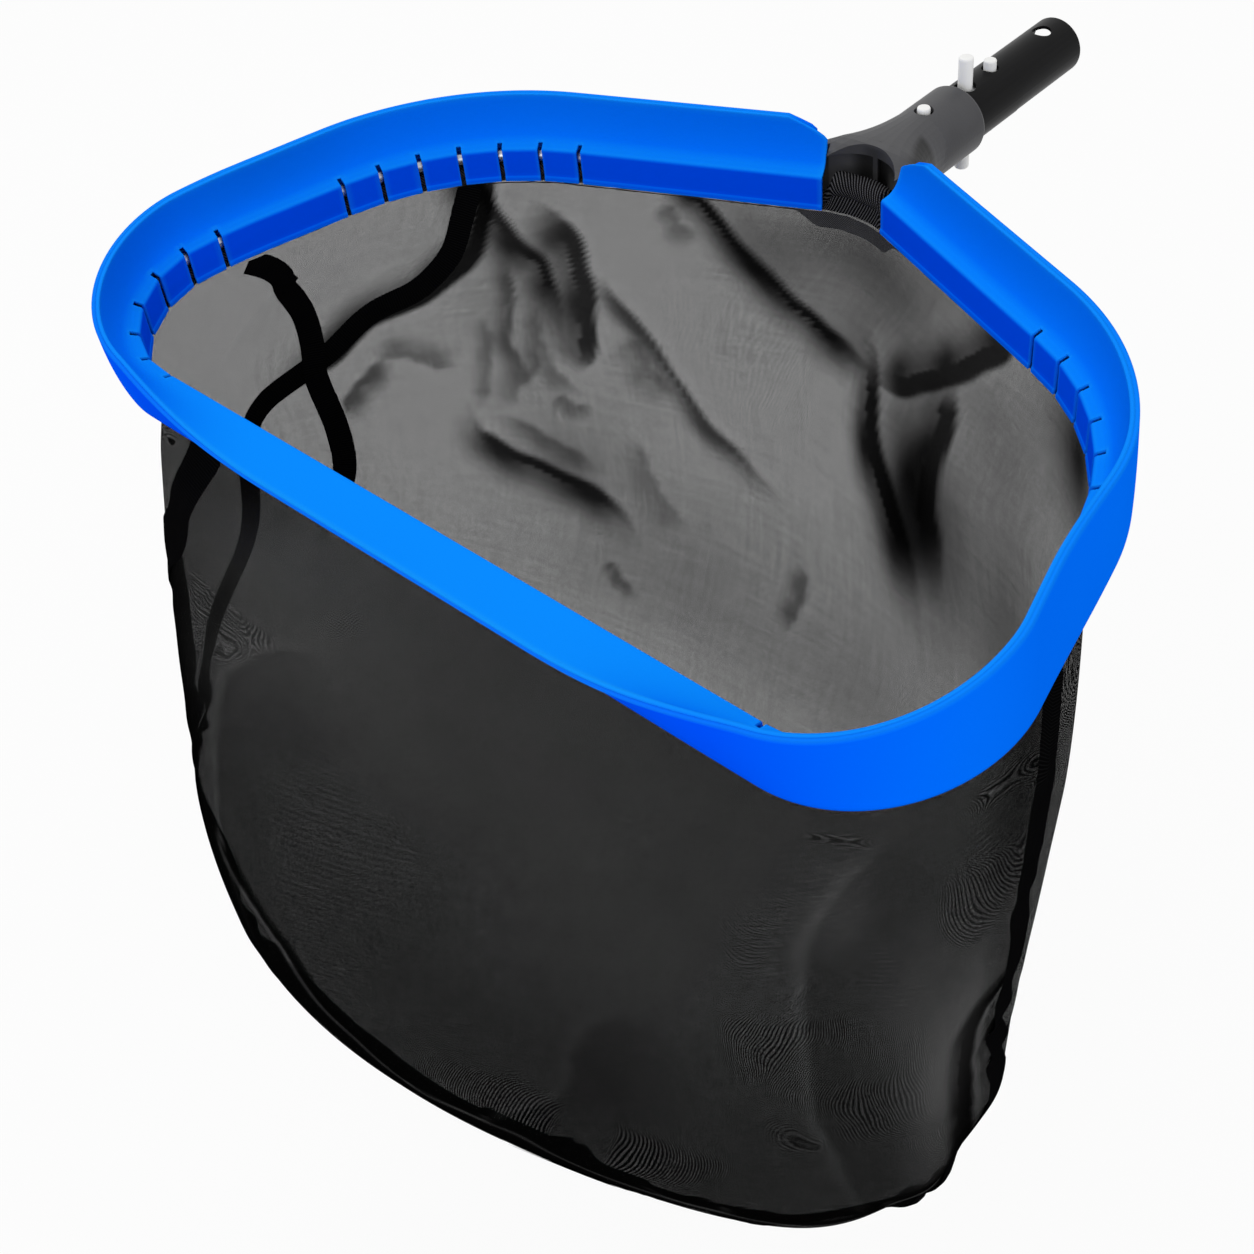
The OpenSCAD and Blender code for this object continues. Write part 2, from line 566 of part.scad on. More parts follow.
module keep_button_upper() button(keep_y, keep_pin_d, socket_r + keep_pin_rise, 1);
module keep_button_lower() button(keep_y, keep_pin_d, socket_r + keep_pin_rise, -1);

module hoop() {
    color(steel) difference() {
        rim_bar(hoop_stops, 10);
        hoop_screw_bars(screw_d/2 + screw_air/2, hoop_o, wing_out);
    }
}
module hoop_screws() {
    color(steel) {
        hoop_screw_bars(screw_d/2, hoop_o + 2*screw_air, wing_out);
        hoop_screw_bars(screw_head_d/2, wing_out, wing_out + screw_head_h);
    }
}
module edge_guard() {
    n = len(guard_section(0));
    pts = [for (s = rim_stops, p = guard_section(s)) beside(sloped(s, p[2]), p[0], p[1])];
    color(blue) difference() {
        polyhedron(pts, concat(ring_walls(len(rim_stops), n), guard_caps(len(rim_stops), n)));
        both_sides() {
            for (k = [0:slit_n - 1]) {
                slit_cut(slit_start_a + k*slit_pitch_a);
                slit_cut(slit_start_b + k*slit_pitch_b);
            }
        }
        hoop_screw_bars(screw_d/2 + 2*screw_air, guard_w_back - 2*guard_wall, guard_w_back + 2*guard_wall);
    }
}
module slit_cut(s) {
    p = beside(s, 0, 0);
    translate(p) rotate([0, 0, -heading(s)]) translate([-slit_w/2, -3, -guard_h - 1])
        cube([slit_w, 3 + slit_in, guard_h + 4]);
}

// Outline of the yoke's flare at a share u of the way from the socket to the guard
flare_from = web_y - flare_len;
flare_to = -rim_y - rim_inset;
flare_rows = 14;
flare_sides = 32;
function flare_ring(u) =
    let(w = socket_r + flare_spread*pow(u, 2.6), up = socket_r - flare_drop*ease(0.64, 1, u))
    let(down = socket_r - flare_rise*ease(0.64, 1, u), p = 2/(2 + 1.4*u))
    [for (k = [0:flare_sides - 1]) let(a = (k + 0.5)*360/flare_sides)
        [w*signed(cos(a), p), -(flare_from + (flare_to - flare_from)*u),
            (sin(a) > 0 ? up : down)*signed(sin(a), p)]];
module flare() {
    pts = [for (i = [flare_rows:-1:0]) each flare_ring(i/flare_rows)];
    polyhedron(pts, concat(ring_walls(flare_rows + 1, flare_sides), ring_caps(flare_rows + 1, flare_sides)));
}
module mouth(r, top)
    translate([0, rim_y - mouth_back, -3*socket_r]) cylinder(r = r, h = 3*socket_r + top, $fn = fine);
module yoke() {
    socket_len = yoke_front_y - socket_rim_y;
    color(black) difference() {
        union() {
            translate([0, -socket_rim_y, 0]) rotate([90, 0, 0]) rotate_extrude($fn = fine)
                polygon([[0, 0], [socket_r - socket_round, 0],
                    [socket_r - socket_round*0.3, socket_round*0.3],
                    [socket_r, socket_round], [socket_r, socket_len], [0, socket_len]]);
            difference() {
                flare();
                mouth(mouth_r, 3*socket_r);
                difference() {
                    mouth(mouth_r + roof_lip, roof_z);
                    translate([-rib_t/2, -3*socket_r - web_y, -wing_down - hoop_drop])
                        cube([rib_t, 3*socket_r, 3*socket_r]);
                }
                both_sides() on_back(0, -3*socket_r) translate([-end_air, wing_in - 6*socket_r, 0])
                    cube([12*socket_r, 6*socket_r, 6*socket_r]);
            }
            both_sides() wing();
        }
        along_y(socket_rim_y - 1, tube_d/2 + socket_air, web_y - socket_rim_y + 1);
        hole_through(keep_y, keep_pin_d/2 + keep_hole_air);
        hoop_screw_bars(screw_d/2 + screw_air, wing_in - 1, wing_out + 1);
    }
}
module wing() {
    r = (wing_up + wing_down)/2;
    on_back(0, -hoop_drop) translate([0, wing_in, (wing_up - wing_down)/2]) rotate([-90, 0, 0]) {
        translate([wing_from, -r, 0]) cube([wing_len - r - wing_from, 2*r, wing_t]);
        translate([wing_len - r, 0, 0]) cylinder(r = r, h = wing_t, $fn = fine);
    }
}

module hem_roll() color(black) rim_bar(hem_stops, 8, true);
// The band lies along the mesh's first row of facets, across the gap between the guard's ends
band_from = 12;
band_cols = 2;
function band_grid(off) = [for (share = [0, 1], j = [0:band_cols])
    let(k = (band_from + j)/bag_cols, v = row_v(1))
    let(top = bag_pt(0, across(false, 0, k), off), low = bag_pt(v, across(false, v, k), off))
    let(step = unit(low - top))
    top + (mesh_air + share*band_h)*step];
module hem_band() thin_sheet(band_grid(-tape_off), band_grid(-tape_off - band_t), 1, band_cols);
module net_front_panel() bag_panel(true);
module net_back_panel() bag_panel(false);
module seam_tape_left() seam_tape(true);
module seam_tape_right() seam_tape(false);
module seam_tape_bottom() tape(bottom_route, tape_off + bottom_air);
module gusset_tape() tape(gusset_stops, inner_off);
module side_tape() tape(side_stops, inner_off - tape_t - cross_air);

yoke();
handle_tube();
hoop();
hoop_screws();
edge_guard();
lock_clip_bow();
lock_arm_upper();
lock_arm_lower();
lock_pin_upper();
lock_pin_lower();
squeeze_button_upper();
squeeze_button_lower();
keep_clip_bow();
keep_arm_upper();
keep_arm_lower();
keep_button_upper();
keep_button_lower();
hem_roll();
hem_band();
net_front_panel();
net_back_panel();
seam_tape_left();
seam_tape_right();
seam_tape_bottom();
gusset_tape();
side_tape();
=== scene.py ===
# %% [markdown]
# # A pool leaf skimmer net
#
# The net is a metal hoop inside a blue edge guard, with a deep mesh bag hanging from it and
# a forked yoke that joins it to a short tube. The hard parts come packed as a fixed frame.
# This lesson dresses them: it works out new surfaces with numpy, gives every part a
# material made of nodes, and sets up the light and the camera.
#
# The first step loads the imported parts.

# %% Load the imported parts
import bpy
import numpy as np
from mathutils import Matrix, Vector


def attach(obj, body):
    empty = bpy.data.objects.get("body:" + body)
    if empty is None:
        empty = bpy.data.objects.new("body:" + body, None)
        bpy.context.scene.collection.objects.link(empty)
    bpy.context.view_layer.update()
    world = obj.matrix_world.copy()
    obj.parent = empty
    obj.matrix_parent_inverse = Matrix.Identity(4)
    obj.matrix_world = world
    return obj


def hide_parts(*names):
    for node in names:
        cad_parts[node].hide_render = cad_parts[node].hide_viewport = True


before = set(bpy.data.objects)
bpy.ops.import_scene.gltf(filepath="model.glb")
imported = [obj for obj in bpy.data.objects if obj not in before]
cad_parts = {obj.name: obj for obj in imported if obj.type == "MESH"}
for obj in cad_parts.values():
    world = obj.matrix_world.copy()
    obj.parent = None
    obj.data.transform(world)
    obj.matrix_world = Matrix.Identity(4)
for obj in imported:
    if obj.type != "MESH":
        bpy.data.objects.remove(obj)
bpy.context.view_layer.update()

MM = 0.001

# %% [markdown]
# ## Numbers and small helpers
#
# Blender's cloth and curve tools could draw these shapes, but a net has a plain rule
# behind each of its forms. So each form is a function of two numbers on a grid. One helper
# turns any such grid of points into a mesh, with a UV map in metres, so that a weave keeps
# its real size wherever the cloth bends.


# %% Grid helper
def ease(a, b, x):
    """Smooth step: 0 up to a, 1 from b on, and three u squared less two u cubed between."""
    u = np.clip((x - a)/(b - a), 0, 1)
    return u*u*(3 - 2*u)


def unit(v):
    """Each vector divided by its own length."""
    return v/np.maximum(np.linalg.norm(v, axis=-1, keepdims=True), 1e-12)


def arc_lengths(points):
    """Length along the first axis of a grid of points: the running sum of its steps."""
    steps = np.linalg.norm(np.diff(points, axis=0), axis=-1)
    return np.concatenate([np.zeros_like(steps[:1]), np.cumsum(steps, axis=0)])


def grid_faces(rows, cols, around=False):
    """Four corner numbers for each cell. A grid that goes around joins its last column to its first."""
    i, j = np.mgrid[:rows - 1, :cols if around else cols - 1]
    k = (j + 1) % cols
    return np.stack([i*cols + j, i*cols + k, (i + 1)*cols + k, (i + 1)*cols + j], -1).reshape(-1, 4)


def grid_object(name, grids, material, smooth_angle=40):
    """One object from a list of grids. Each is a dict: points, and if wanted around, keep, uv and marks."""
    verts, faces, uvs, marks, start = [], [], [], {}, 0
    for g in grids:
        p = g["points"]
        rows, cols = p.shape[:2]
        around = g.get("around", False)
        f = grid_faces(rows, cols, around)
        if "keep" in g:
            f = f[g["keep"].ravel()]
        if "uv" in g:
            u = g["uv"].reshape(-1, 2)
            if around:  # the uv grid has one more column, so that the last cell doesn't run back
                i, j = f[:, 0]//cols, f[:, 0] % cols
                a = i*(cols + 1) + j
                corner = np.stack([a, a + 1, a + cols + 2, a + cols + 1], -1)
            else:
                corner = f
            uvs.append(u[corner].reshape(-1, 2))
        for key, value in g.get("marks", {}).items():
            marks.setdefault(key, []).append(np.broadcast_to(value, (rows, cols)).ravel())
        verts.append(p.reshape(-1, 3))
        faces.append(f + start)
        start += rows*cols
    verts, faces = np.concatenate(verts), np.concatenate(faces)
    used, faces = np.unique(faces, return_inverse=True)
    mesh = bpy.data.meshes.new(name)
    mesh.from_pydata(verts[used].tolist(), [], faces.reshape(-1, 4).tolist())
    if uvs:
        layer = mesh.uv_layers.new(name="cloth")
        layer.data.foreach_set("uv", np.concatenate(uvs).astype(np.float32).ravel())
    for key, values in marks.items():
        attribute = mesh.attributes.new(key, "FLOAT", "POINT")
        attribute.data.foreach_set("value", np.concatenate(values)[used].astype(np.float32))
    mesh.polygons.foreach_set("use_smooth", np.ones(len(faces.reshape(-1, 4)), bool))
    mesh.set_sharp_from_angle(angle=np.radians(smooth_angle))
    mesh.materials.append(material)
    made = bpy.data.objects.new(name, mesh)
    bpy.context.scene.collection.objects.link(made)
    print(f"{name}: {len(used)} points, {len(mesh.polygons)} faces")
    return made


# %% [markdown]
# ## Shader expressions
#
# A material is a small program drawn as nodes. Written as plain node calls it is long, so
# one class wraps a node's output, and arithmetic on it adds Math nodes. Any other node
# comes from one method, which sets the node's options first and then fills its sockets.


# %% Shader helper
class Value:
    """Wraps one output socket, so that arithmetic on it adds Math nodes."""

    def __init__(self, tree, socket=None):
        self.tree, self.socket = tree, socket

    def node(self, kind, settings=None, sockets=None, out=0):
        """Adds a node, sets its options, then gives each named or numbered socket a value or a link."""
        made = self.tree.nodes.new(kind)
        for key, value in (settings or {}).items():
            if key == "stops":
                for extra in range(len(value) - 2):
                    made.color_ramp.elements.new(0.5)
                for element, (place, colour) in zip(made.color_ramp.elements, value):
                    element.position, element.color = place, (*colour, 1)
            else:
                setattr(made, key, value)
        for key, value in (sockets or {}).items():
            if isinstance(value, Value):
                self.tree.links.new(value.socket, made.inputs[key])
            else:
                made.inputs[key].default_value = value
        return Value(self.tree, made.outputs[out]) if len(made.outputs) else None

    def maths(self, operation, *others, first=None):
        """A Math node of self and others, in that order, or with first before self."""
        terms = (self, *others) if first is None else (first, self)
        return self.node("ShaderNodeMath", {"operation": operation}, dict(enumerate(terms)))

    def __add__(self, other):
        return self.maths("ADD", other)

    def __radd__(self, other):
        return self.maths("ADD", first=other)

    def __sub__(self, other):
        return self.maths("SUBTRACT", other)

    def __rsub__(self, other):
        return self.maths("SUBTRACT", first=other)

    def __mul__(self, other):
        return self.maths("MULTIPLY", other)

    def __rmul__(self, other):
        return self.maths("MULTIPLY", first=other)

    def __truediv__(self, other):
        return self.maths("DIVIDE", other)

    def step(self, low, high):
        """A smooth step: 0 below low and 1 above high. With low above high it falls instead."""
        if low > high:
            return 1 - self.step(high, low)
        return self.node("ShaderNodeMapRange", {"interpolation_type": "SMOOTHSTEP"},
                         {"Value": self, "From Min": low, "From Max": high})

    def colour(self, first, second):
        """First colour where self is 0 and second where it is 1."""
        pair = [(*c, 1) if isinstance(c, tuple) else c for c in (first, second)]
        return self.node("ShaderNodeMix", {"data_type": "RGBA"}, {0: self, 6: pair[0], 7: pair[1]}, out=2)


def new_material(name):
    """An empty material and the Value that adds nodes to it."""
    material = bpy.data.materials.new(name)
    material.use_nodes = True
    material.node_tree.nodes.clear()
    return material, Value(material.node_tree)


def finish_material(n, sockets, height=None, depth=0.0):
    """Ends in a Principled shader with these sockets. A height adds a bump of that depth, in metres."""
    if height is not None:
        sockets["Normal"] = n.node("ShaderNodeBump", {}, {"Height": height, "Distance": depth})
    shader = n.node("ShaderNodeBsdfPrincipled", {}, sockets)
    n.node("ShaderNodeOutputMaterial", {}, {"Surface": shader})


def noise(n, place, scale, detail=3.0):
    """Soft noise from 0 to 1, at a number of grains in each metre."""
    return n.node("ShaderNodeTexNoise", {}, {"Vector": place, "Scale": scale, "Detail": detail})


def object_place(n):
    """Where a point is on the object, in metres."""
    return n.node("ShaderNodeTexCoord", out=3)


def mark(n, name):
    """A number that the mesh carries at each of its points."""
    return n.node("ShaderNodeAttribute", {"attribute_name": name}, out=2)


def cloth_place(n):
    """The two numbers of the UV map, in metres along and across the cloth."""
    uv = n.node("ShaderNodeUVMap", {"uv_map": "cloth"})
    parts = n.node("ShaderNodeSeparateXYZ", {}, {0: uv})
    return parts, Value(n.tree, parts.socket.node.outputs[1])


# %% [markdown]
# ## Moulded and metal finishes
#
# Moulded plastic is never one flat colour. It has a fine grain from the mould and patches
# that are a little shinier. The blue guard's colour also carries painted shade: it is painted
# deeper where it stands upright and paler where it lies flat, as light from above falls, so
# its mesh carries a mark called flat, from 0 to 1, and another called edge for thin painted
# highlights along its ridge, lip, foot, slits and cut ends.

# %% Blue guard plastic
def blue_plastic():
    """Painted shade from deep to pale blue by the flat mark, painted highlights by the edge mark, and a fine
    moulded grain.
    """
    material, n = new_material("blue_guard_plastic")
    place = object_place(n)
    patches = noise(n, place, 9, 2)
    grain = noise(n, place, 900, 2)
    flat, edge = mark(n, "flat"), mark(n, "edge")
    tone = flat + (patches - 0.5)*0.16
    # Painted shade: deep blue where the guard stands upright, pale where it lies flat, as light from above
    # falls.
    body = n.node("ShaderNodeValToRGB", {"stops": [
        (0.0, (0.0, 0.08, 0.95)), (0.45, (0.0, 0.15, 1.0)), (1.0, (0.003, 0.26, 1.0))]}, {0: tone})
    # Painted highlight: a paler blue along the edge mark's thin lines.
    colour = (edge*0.5).colour(body, (0.01, 0.34, 1.0))
    finish_material(n, {"Base Color": colour, "Roughness": 0.55 + 0.1*patches,
                        "Specular IOR Level": 0.0}, grain, 0.00004)
    return material


# %% Black and white plastics
def moulded_plastic(name, dark, light, rough, grain_scale=700, depth=0.00005, mouth=False):
    """A mould's grain: a mix of two tones by soft patches, with a fine bump. A mouth adds painted shade in
    the yoke's recess: a box of smooth steps in x, y and z, near black. It reaches the flare's sides beside
    the recess too."""
    material, n = new_material(name)
    place = object_place(n)
    patches = noise(n, place, 28, 3)
    grain = noise(n, place, grain_scale, 2)
    colour = patches.step(0.3, 0.7).colour(dark, light)
    if mouth:
        parts = n.node("ShaderNodeSeparateXYZ", {}, {0: place}).socket.node.outputs
        x, y, z = (Value(n.tree, socket) for socket in parts)
        # Painted shade: the recess, and the flare's sides beside it, are darkened to near black.
        deep = y.step(-0.155, -0.151)*y.step(-0.13, -0.134)
        high, wide = z.maths("ABSOLUTE").step(0.0165, 0.0145), x.maths("ABSOLUTE").step(0.027, 0.022)
        inside = deep*high*wide
        colour = (inside*0.93).colour(colour, (0.003, 0.003, 0.003))
    finish_material(n, {"Base Color": colour, "Roughness": rough - 0.05 + 0.1*patches,
                        "Specular IOR Level": 0.3}, grain, depth)
    return material


# %% Metals
def drawn_metal(name, dark, light, rough, along=(1, 1, 1), metallic=1.0, shine=0.5):
    """Fine lines left by drawing or rolling: noise stretched along one axis, in colour and bump."""
    material, n = new_material(name)
    place = object_place(n)
    stretched = n.node("ShaderNodeVectorMath", {"operation": "MULTIPLY"}, {0: place, 1: along})
    lines = noise(n, stretched, 600, 2)
    haze = noise(n, place, 40, 2)
    finish_material(n, {"Base Color": lines.colour(dark, light), "Metallic": metallic,
                        "Specular IOR Level": shine, "Roughness": rough - 0.06 + 0.12*haze}, lines, 0.00002)
    return material


guard_blue = blue_plastic()
yoke_black = moulded_plastic("yoke_black_nylon", (0.04, 0.04, 0.043), (0.058, 0.058, 0.062), 0.46, mouth=True)
button_white = moulded_plastic("button_white_nylon", (0.8, 0.8, 0.78), (0.88, 0.88, 0.87), 0.38, 400, 0.00002)
tube_black = drawn_metal("tube_black_anodised", (0.003, 0.003, 0.0033), (0.007, 0.007, 0.0075), 0.36,
                         (1, 0.04, 1), 0.0, 0.07)
spring_steel = drawn_metal("spring_strip_steel", (0.5, 0.51, 0.52), (0.7, 0.71, 0.72), 0.3, (1, 0.05, 1))
hoop_metal = drawn_metal("hoop_bright_rod", (0.4, 0.41, 0.42), (0.62, 0.63, 0.65), 0.3, (0.3, 0.3, 0.3))
screw_steel = drawn_metal("screw_steel", (0.4, 0.41, 0.42), (0.6, 0.61, 0.62), 0.3)
print("hard finishes:", [m.name for m in bpy.data.materials if m.use_nodes][-7:])

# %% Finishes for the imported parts
packed_finish = {"yoke": yoke_black, "handle_tube": tube_black, "hoop_screws": screw_steel}
for node_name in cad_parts:
    if "clip_bow" in node_name or "_arm_" in node_name:
        packed_finish[node_name] = spring_steel
    if "pin" in node_name or "button" in node_name:
        packed_finish[node_name] = button_white
for node_name, finish in packed_finish.items():
    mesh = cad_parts[node_name].data
    mesh.materials.clear()
    mesh.materials.append(finish)
print("packed parts with a finish:", len(packed_finish))

# %% [markdown]
# ## The rim's path
#
# Everything round the mouth follows one outline: a short bridge at the back, two back
# straights, rounded shoulders, side straights, front corners and a straight front that
# dips a little. The path could be a Bezier curve, but arcs and straights with known
# lengths let the slits fall at even distances. A place beside the path has three numbers:
# s along it, o outward and z above it.

# %% Rim path
rim_gap, ridge_z = 34.4*MM, 4.4*MM
back_angle, side_angle = 22.9, 75.6
back_len, side_len = 126.3*MM, 77.9*MM
shoulder_r, corner_r = 125.3*MM, 51.2*MM
front_dip, dip_len = 13.5*MM, 97.5*MM
rim_y = -171.8*MM


def ahead(h):
    """Direction along the path at a heading in degrees."""
    return np.stack([np.cos(np.radians(h)), -np.sin(np.radians(h))], -1)


def outward(h):
    """Direction away from the bag at a heading in degrees."""
    return np.stack([np.sin(np.radians(h)), np.cos(np.radians(h))], -1)


bridge_r = rim_gap/2/np.sin(np.radians(back_angle))
bridge_len = bridge_r*np.radians(back_angle)
rim_start = np.array([rim_gap/2, rim_y])
shoulder_at = back_len
side_at = shoulder_at + shoulder_r*np.radians(side_angle - back_angle)
corner_at = side_at + side_len
front_at = corner_at + corner_r*np.radians(180 - side_angle)
shoulder_c = rim_start + back_len*ahead(back_angle) - shoulder_r*outward(back_angle)
side_start = shoulder_c + shoulder_r*outward(side_angle)
corner_c = side_start + side_len*ahead(side_angle) - corner_r*outward(side_angle)
front_y = corner_c[1] - corner_r
half_len = front_at + corner_c[0]
bridge_c = rim_start - bridge_r*outward(back_angle)
print(f"half of the rim is {half_len*1000:.1f} mm long, its front is at y {front_y*1000:.1f} mm")


def heading(s):
    """The path's heading: it turns evenly along each arc and stays along each straight."""
    return np.select(
        [s < 0, s < shoulder_at, s < side_at, s < corner_at, s < front_at],
        [back_angle*(1 + s/bridge_len), back_angle + 0*s,
         back_angle + np.degrees((s - shoulder_at)/shoulder_r), side_angle + 0*s,
         side_angle + np.degrees((s - corner_at)/corner_r)], 180.0)


def rim_xy(s):
    """Arcs are a centre plus a radius outward, and straights a start plus a distance ahead."""
    o, t = outward(heading(s)), s[..., None]
    return np.select(
        [t < 0, t < shoulder_at, t < side_at, t < corner_at, t < front_at],
        [bridge_c + bridge_r*o, rim_start + t*ahead(back_angle), shoulder_c + shoulder_r*o,
         side_start + (t - side_at)*ahead(side_angle), corner_c + corner_r*o],
        np.concatenate([half_len - t, front_y + 0*t], -1))


def ridge_at(y):
    """Height of the path: level, then dipping by the square of the way to the front."""
    return ridge_z - front_dip*np.maximum(0, (front_y + dip_len - y)/dip_len)**2


def beside(s, o, z):
    """A point o outward and z above the path. Past the front and the back the path is mirrored."""
    s, o, z = np.broadcast_arrays(s, o, z)
    q = np.where(s > half_len, 2*half_len - s, np.where(s < -bridge_len, -2*bridge_len - s, s))
    side = np.where((s > half_len) | (s < -bridge_len), -1, 1)
    p = rim_xy(q)
    v = p + o[..., None]*outward(heading(q))
    return np.stack([side*v[..., 0], v[..., 1], ridge_at(p[..., 1]) + z], -1)


# %% [markdown]
# ## The edge guard
#
# The guard is a moulded strip bent round the hoop. An inner wall stands in the mouth, its
# slits let it bend at the shoulders and the front corners, and a lip curves out over the
# hoop. It could be cut with booleans, but a slit is only a few missing cells of the grid.
# So the grid gets a line at each slit's edge, the cells between are left out, and Solidify
# gives the skin its wall. Between two slits the wall stays flat, as a stiff tab does. A
# second skin closes the outside, from the back of the lip's tip down to the guard's foot.

# %% Guard values
guard_wall, guard_h = 1.8*MM, 18*MM
w_back, w_side = 14.6*MM, 11.4*MM
lip_len, ledge_w, end_slope = 25.6*MM, 11*MM, 19*MM
lip_back_angle, lip_side_angle, lip_front_angle = 64.5, 77.3, 4.6
bead_h, bead_t = 2.4*MM, 0.5*MM
ridge_round = 2.0*MM
slit_w, slit_in, slit_n = 2.3*MM, 4.3*MM, 7
slit_a = 122.8*MM + 20*MM*np.arange(slit_n)
slit_b = 309.4*MM + 18.2*MM*np.arange(slit_n)
slit_at = np.concatenate([slit_a, slit_b])
slit_at = np.sort(np.concatenate([slit_at, 2*half_len - slit_at]))
rim_steps, edge_step = 421, 0.35*MM
print("slits:", len(slit_at))


def share(s):
    """How far s is from the yoke to the front's middle, from 0 to 1."""
    return np.minimum(s, 2*half_len - s)/half_len


def lip_angle(s):
    """The lip leans back at the yoke, stands steep at the sides and lies out flat at the front."""
    side = lip_back_angle + (lip_side_angle - lip_back_angle)*ease(0.35, 0.5, share(s))
    return side + (lip_front_angle - side)*ease(0.56, 0.87, share(s))


def guard_w(s):
    """Width of the guard's channel, wider at the yoke."""
    return w_back + (w_side - w_back)*ease(0.4, 0.6, share(s))


def sloped(s, k):
    """Moves a point back from the guard's cut ends by k of the slope, less and less further in."""
    q = np.minimum(s, 2*half_len - s)
    r = q + k*end_slope*np.maximum(0, 1 - q/(3*end_slope))
    return np.where(s > half_len, 2*half_len - r, r)


# %% Guard skin
def guard_profile(s):
    """The skin's section at each s: a beaded wall, a quarter round at the ridge, and a lip that is a
    quadratic curve from the ridge along the ledge to its tip. Gives outward, height and end slope."""
    z = np.concatenate([-guard_h + np.array([0, 0.35, 1.2, 2.0, 2.6, 3.0])*MM, np.linspace(-13, -2.4, 6)*MM,
                        [-ridge_round]])
    o = -bead_t*(1 - ease(-guard_h + 1.9*MM, -guard_h + bead_h + bead_t, z))
    turn = np.radians(np.linspace(0, 90, 6)[1:])
    o = np.concatenate([o, ridge_round*(1 - np.cos(turn))])
    z = np.concatenate([z, ridge_round*(np.sin(turn) - 1)])
    u = np.concatenate([[0.13, 0.165, 0.205, 0.22], np.linspace(0.26, 0.975, 17), [0.99, 1.0]])
    a = np.radians(lip_angle(s))[:, None]
    lip_o = 2*u*(1 - u)*ledge_w + u*u*lip_len*np.cos(a)
    lip_z = u*u*lip_len*np.sin(a)
    wide = lambda x: np.broadcast_to(x, (len(s), x.shape[-1]))
    slope = np.concatenate([0*o, np.maximum(0, 4*u - 3)**1.5])
    return (np.concatenate([wide(o), lip_o], 1), np.concatenate([wide(z), lip_z], 1), wide(slope[None]))


# Stations run evenly along the rim, with four more at each slit and none crowded beside those.
near_slit = np.array([-slit_w/2 - edge_step, -slit_w/2, slit_w/2, slit_w/2 + edge_step])
stations = np.concatenate([np.linspace(0, 2*half_len, rim_steps), [edge_step, 2*half_len - edge_step],
                           (slit_at[:, None] + near_slit).ravel()])
clear_of_slit = np.abs(stations[:, None] - slit_at).min(1)
stations = np.unique(np.round(stations[(clear_of_slit > 2.2*MM) | (clear_of_slit < 1.51*MM)], 7))
longest_tab, ridge_foot, ridge_top, tab_rings = 25*MM, 12, 17, 26


def tab_ends(s):
    """The two ends of the flat tab that s lies in. Away from the tabs both are s itself."""
    i = np.clip(np.searchsorted(slit_at, s) - 1, 0, len(slit_at) - 2)
    low, high = slit_at[i] + slit_w/2, slit_at[i + 1] - slit_w/2
    flat = (s >= low - 1e-6) & (s <= high + 1e-6) & (slit_at[i + 1] - slit_at[i] < longest_tab)
    return np.where(flat, low, s), np.where(flat, high, s)


def guard_skin():
    """The section set beside the path, then drawn towards the tab's chord near the wall."""
    o, z, slope = guard_profile(stations)
    s = sloped(stations[:, None], slope)
    true = beside(s, o, z)
    low, high = (x[:, None] + s - stations[:, None] for x in tab_ends(stations))
    t = np.where(high > low, (s - low)/np.maximum(high - low, 1e-9), 0)[..., None]
    chord = beside(low, o, z)*(1 - t) + beside(high, o, z)*t
    pull = (1 - ease(2.5*MM, 7*MM, o))[..., None]*(np.arange(o.shape[1]) < tab_rings)[:, None]
    return true + (chord - true)*pull, o, z


skin, skin_o, skin_z = guard_skin()
middle_s = (stations[1:] + stations[:-1])/2
in_slit = np.abs(middle_s[:, None] - slit_at).min(1) < slit_w/2
past_slit = np.maximum(skin_o[:-1, 1:], skin_o[:-1, :-1]) > slit_in + 0.1*MM
skin_keep = ~(in_slit[:, None] & ~past_slit)

# %% Guard marks
# The flat mark paints shade: how level the section lies, kept at 0.58 or more on the ledge and lip.
run, rise = np.gradient(skin_o, axis=1), np.gradient(skin_z, axis=1)
flatness = np.abs(run)/np.maximum(np.hypot(run, rise), 1e-9)
flatness[:, ridge_top:] = np.maximum(flatness[:, ridge_top:], 0.58)
along_skin = np.concatenate([np.zeros((len(stations), 1)), np.cumsum(
    np.hypot(np.diff(skin_o, axis=1), np.diff(skin_z, axis=1)), 1)], 1)
ridge_line = along_skin[:, ridge_foot:ridge_foot + 1] + ridge_round*0.8
to_slit = np.abs(stations[:, None] - slit_at).min(1)[:, None] - slit_w/2
line = lambda d, w: np.exp(-(d/w)**2)
# The edge mark paints highlights: thin lines at the foot, the lip's tip, the ridge, the slits' sides and the
# cut ends.
edge = np.maximum.reduce([0.8*line(along_skin, 1.0*MM), 0.9*line(along_skin - along_skin[:, -1:], 1.0*MM),
                          0.5*line(along_skin - ridge_line, 0.8*MM),
                          0.6*line(to_slit, 0.5*MM)*(skin_o < slit_in + 1*MM),
                          0.6*line(np.minimum(stations, 2*half_len - stations), 1.0*MM)[:, None] + 0*skin_o])


# %% Guard object
outer_s = np.linspace(0, 2*half_len, rim_steps)


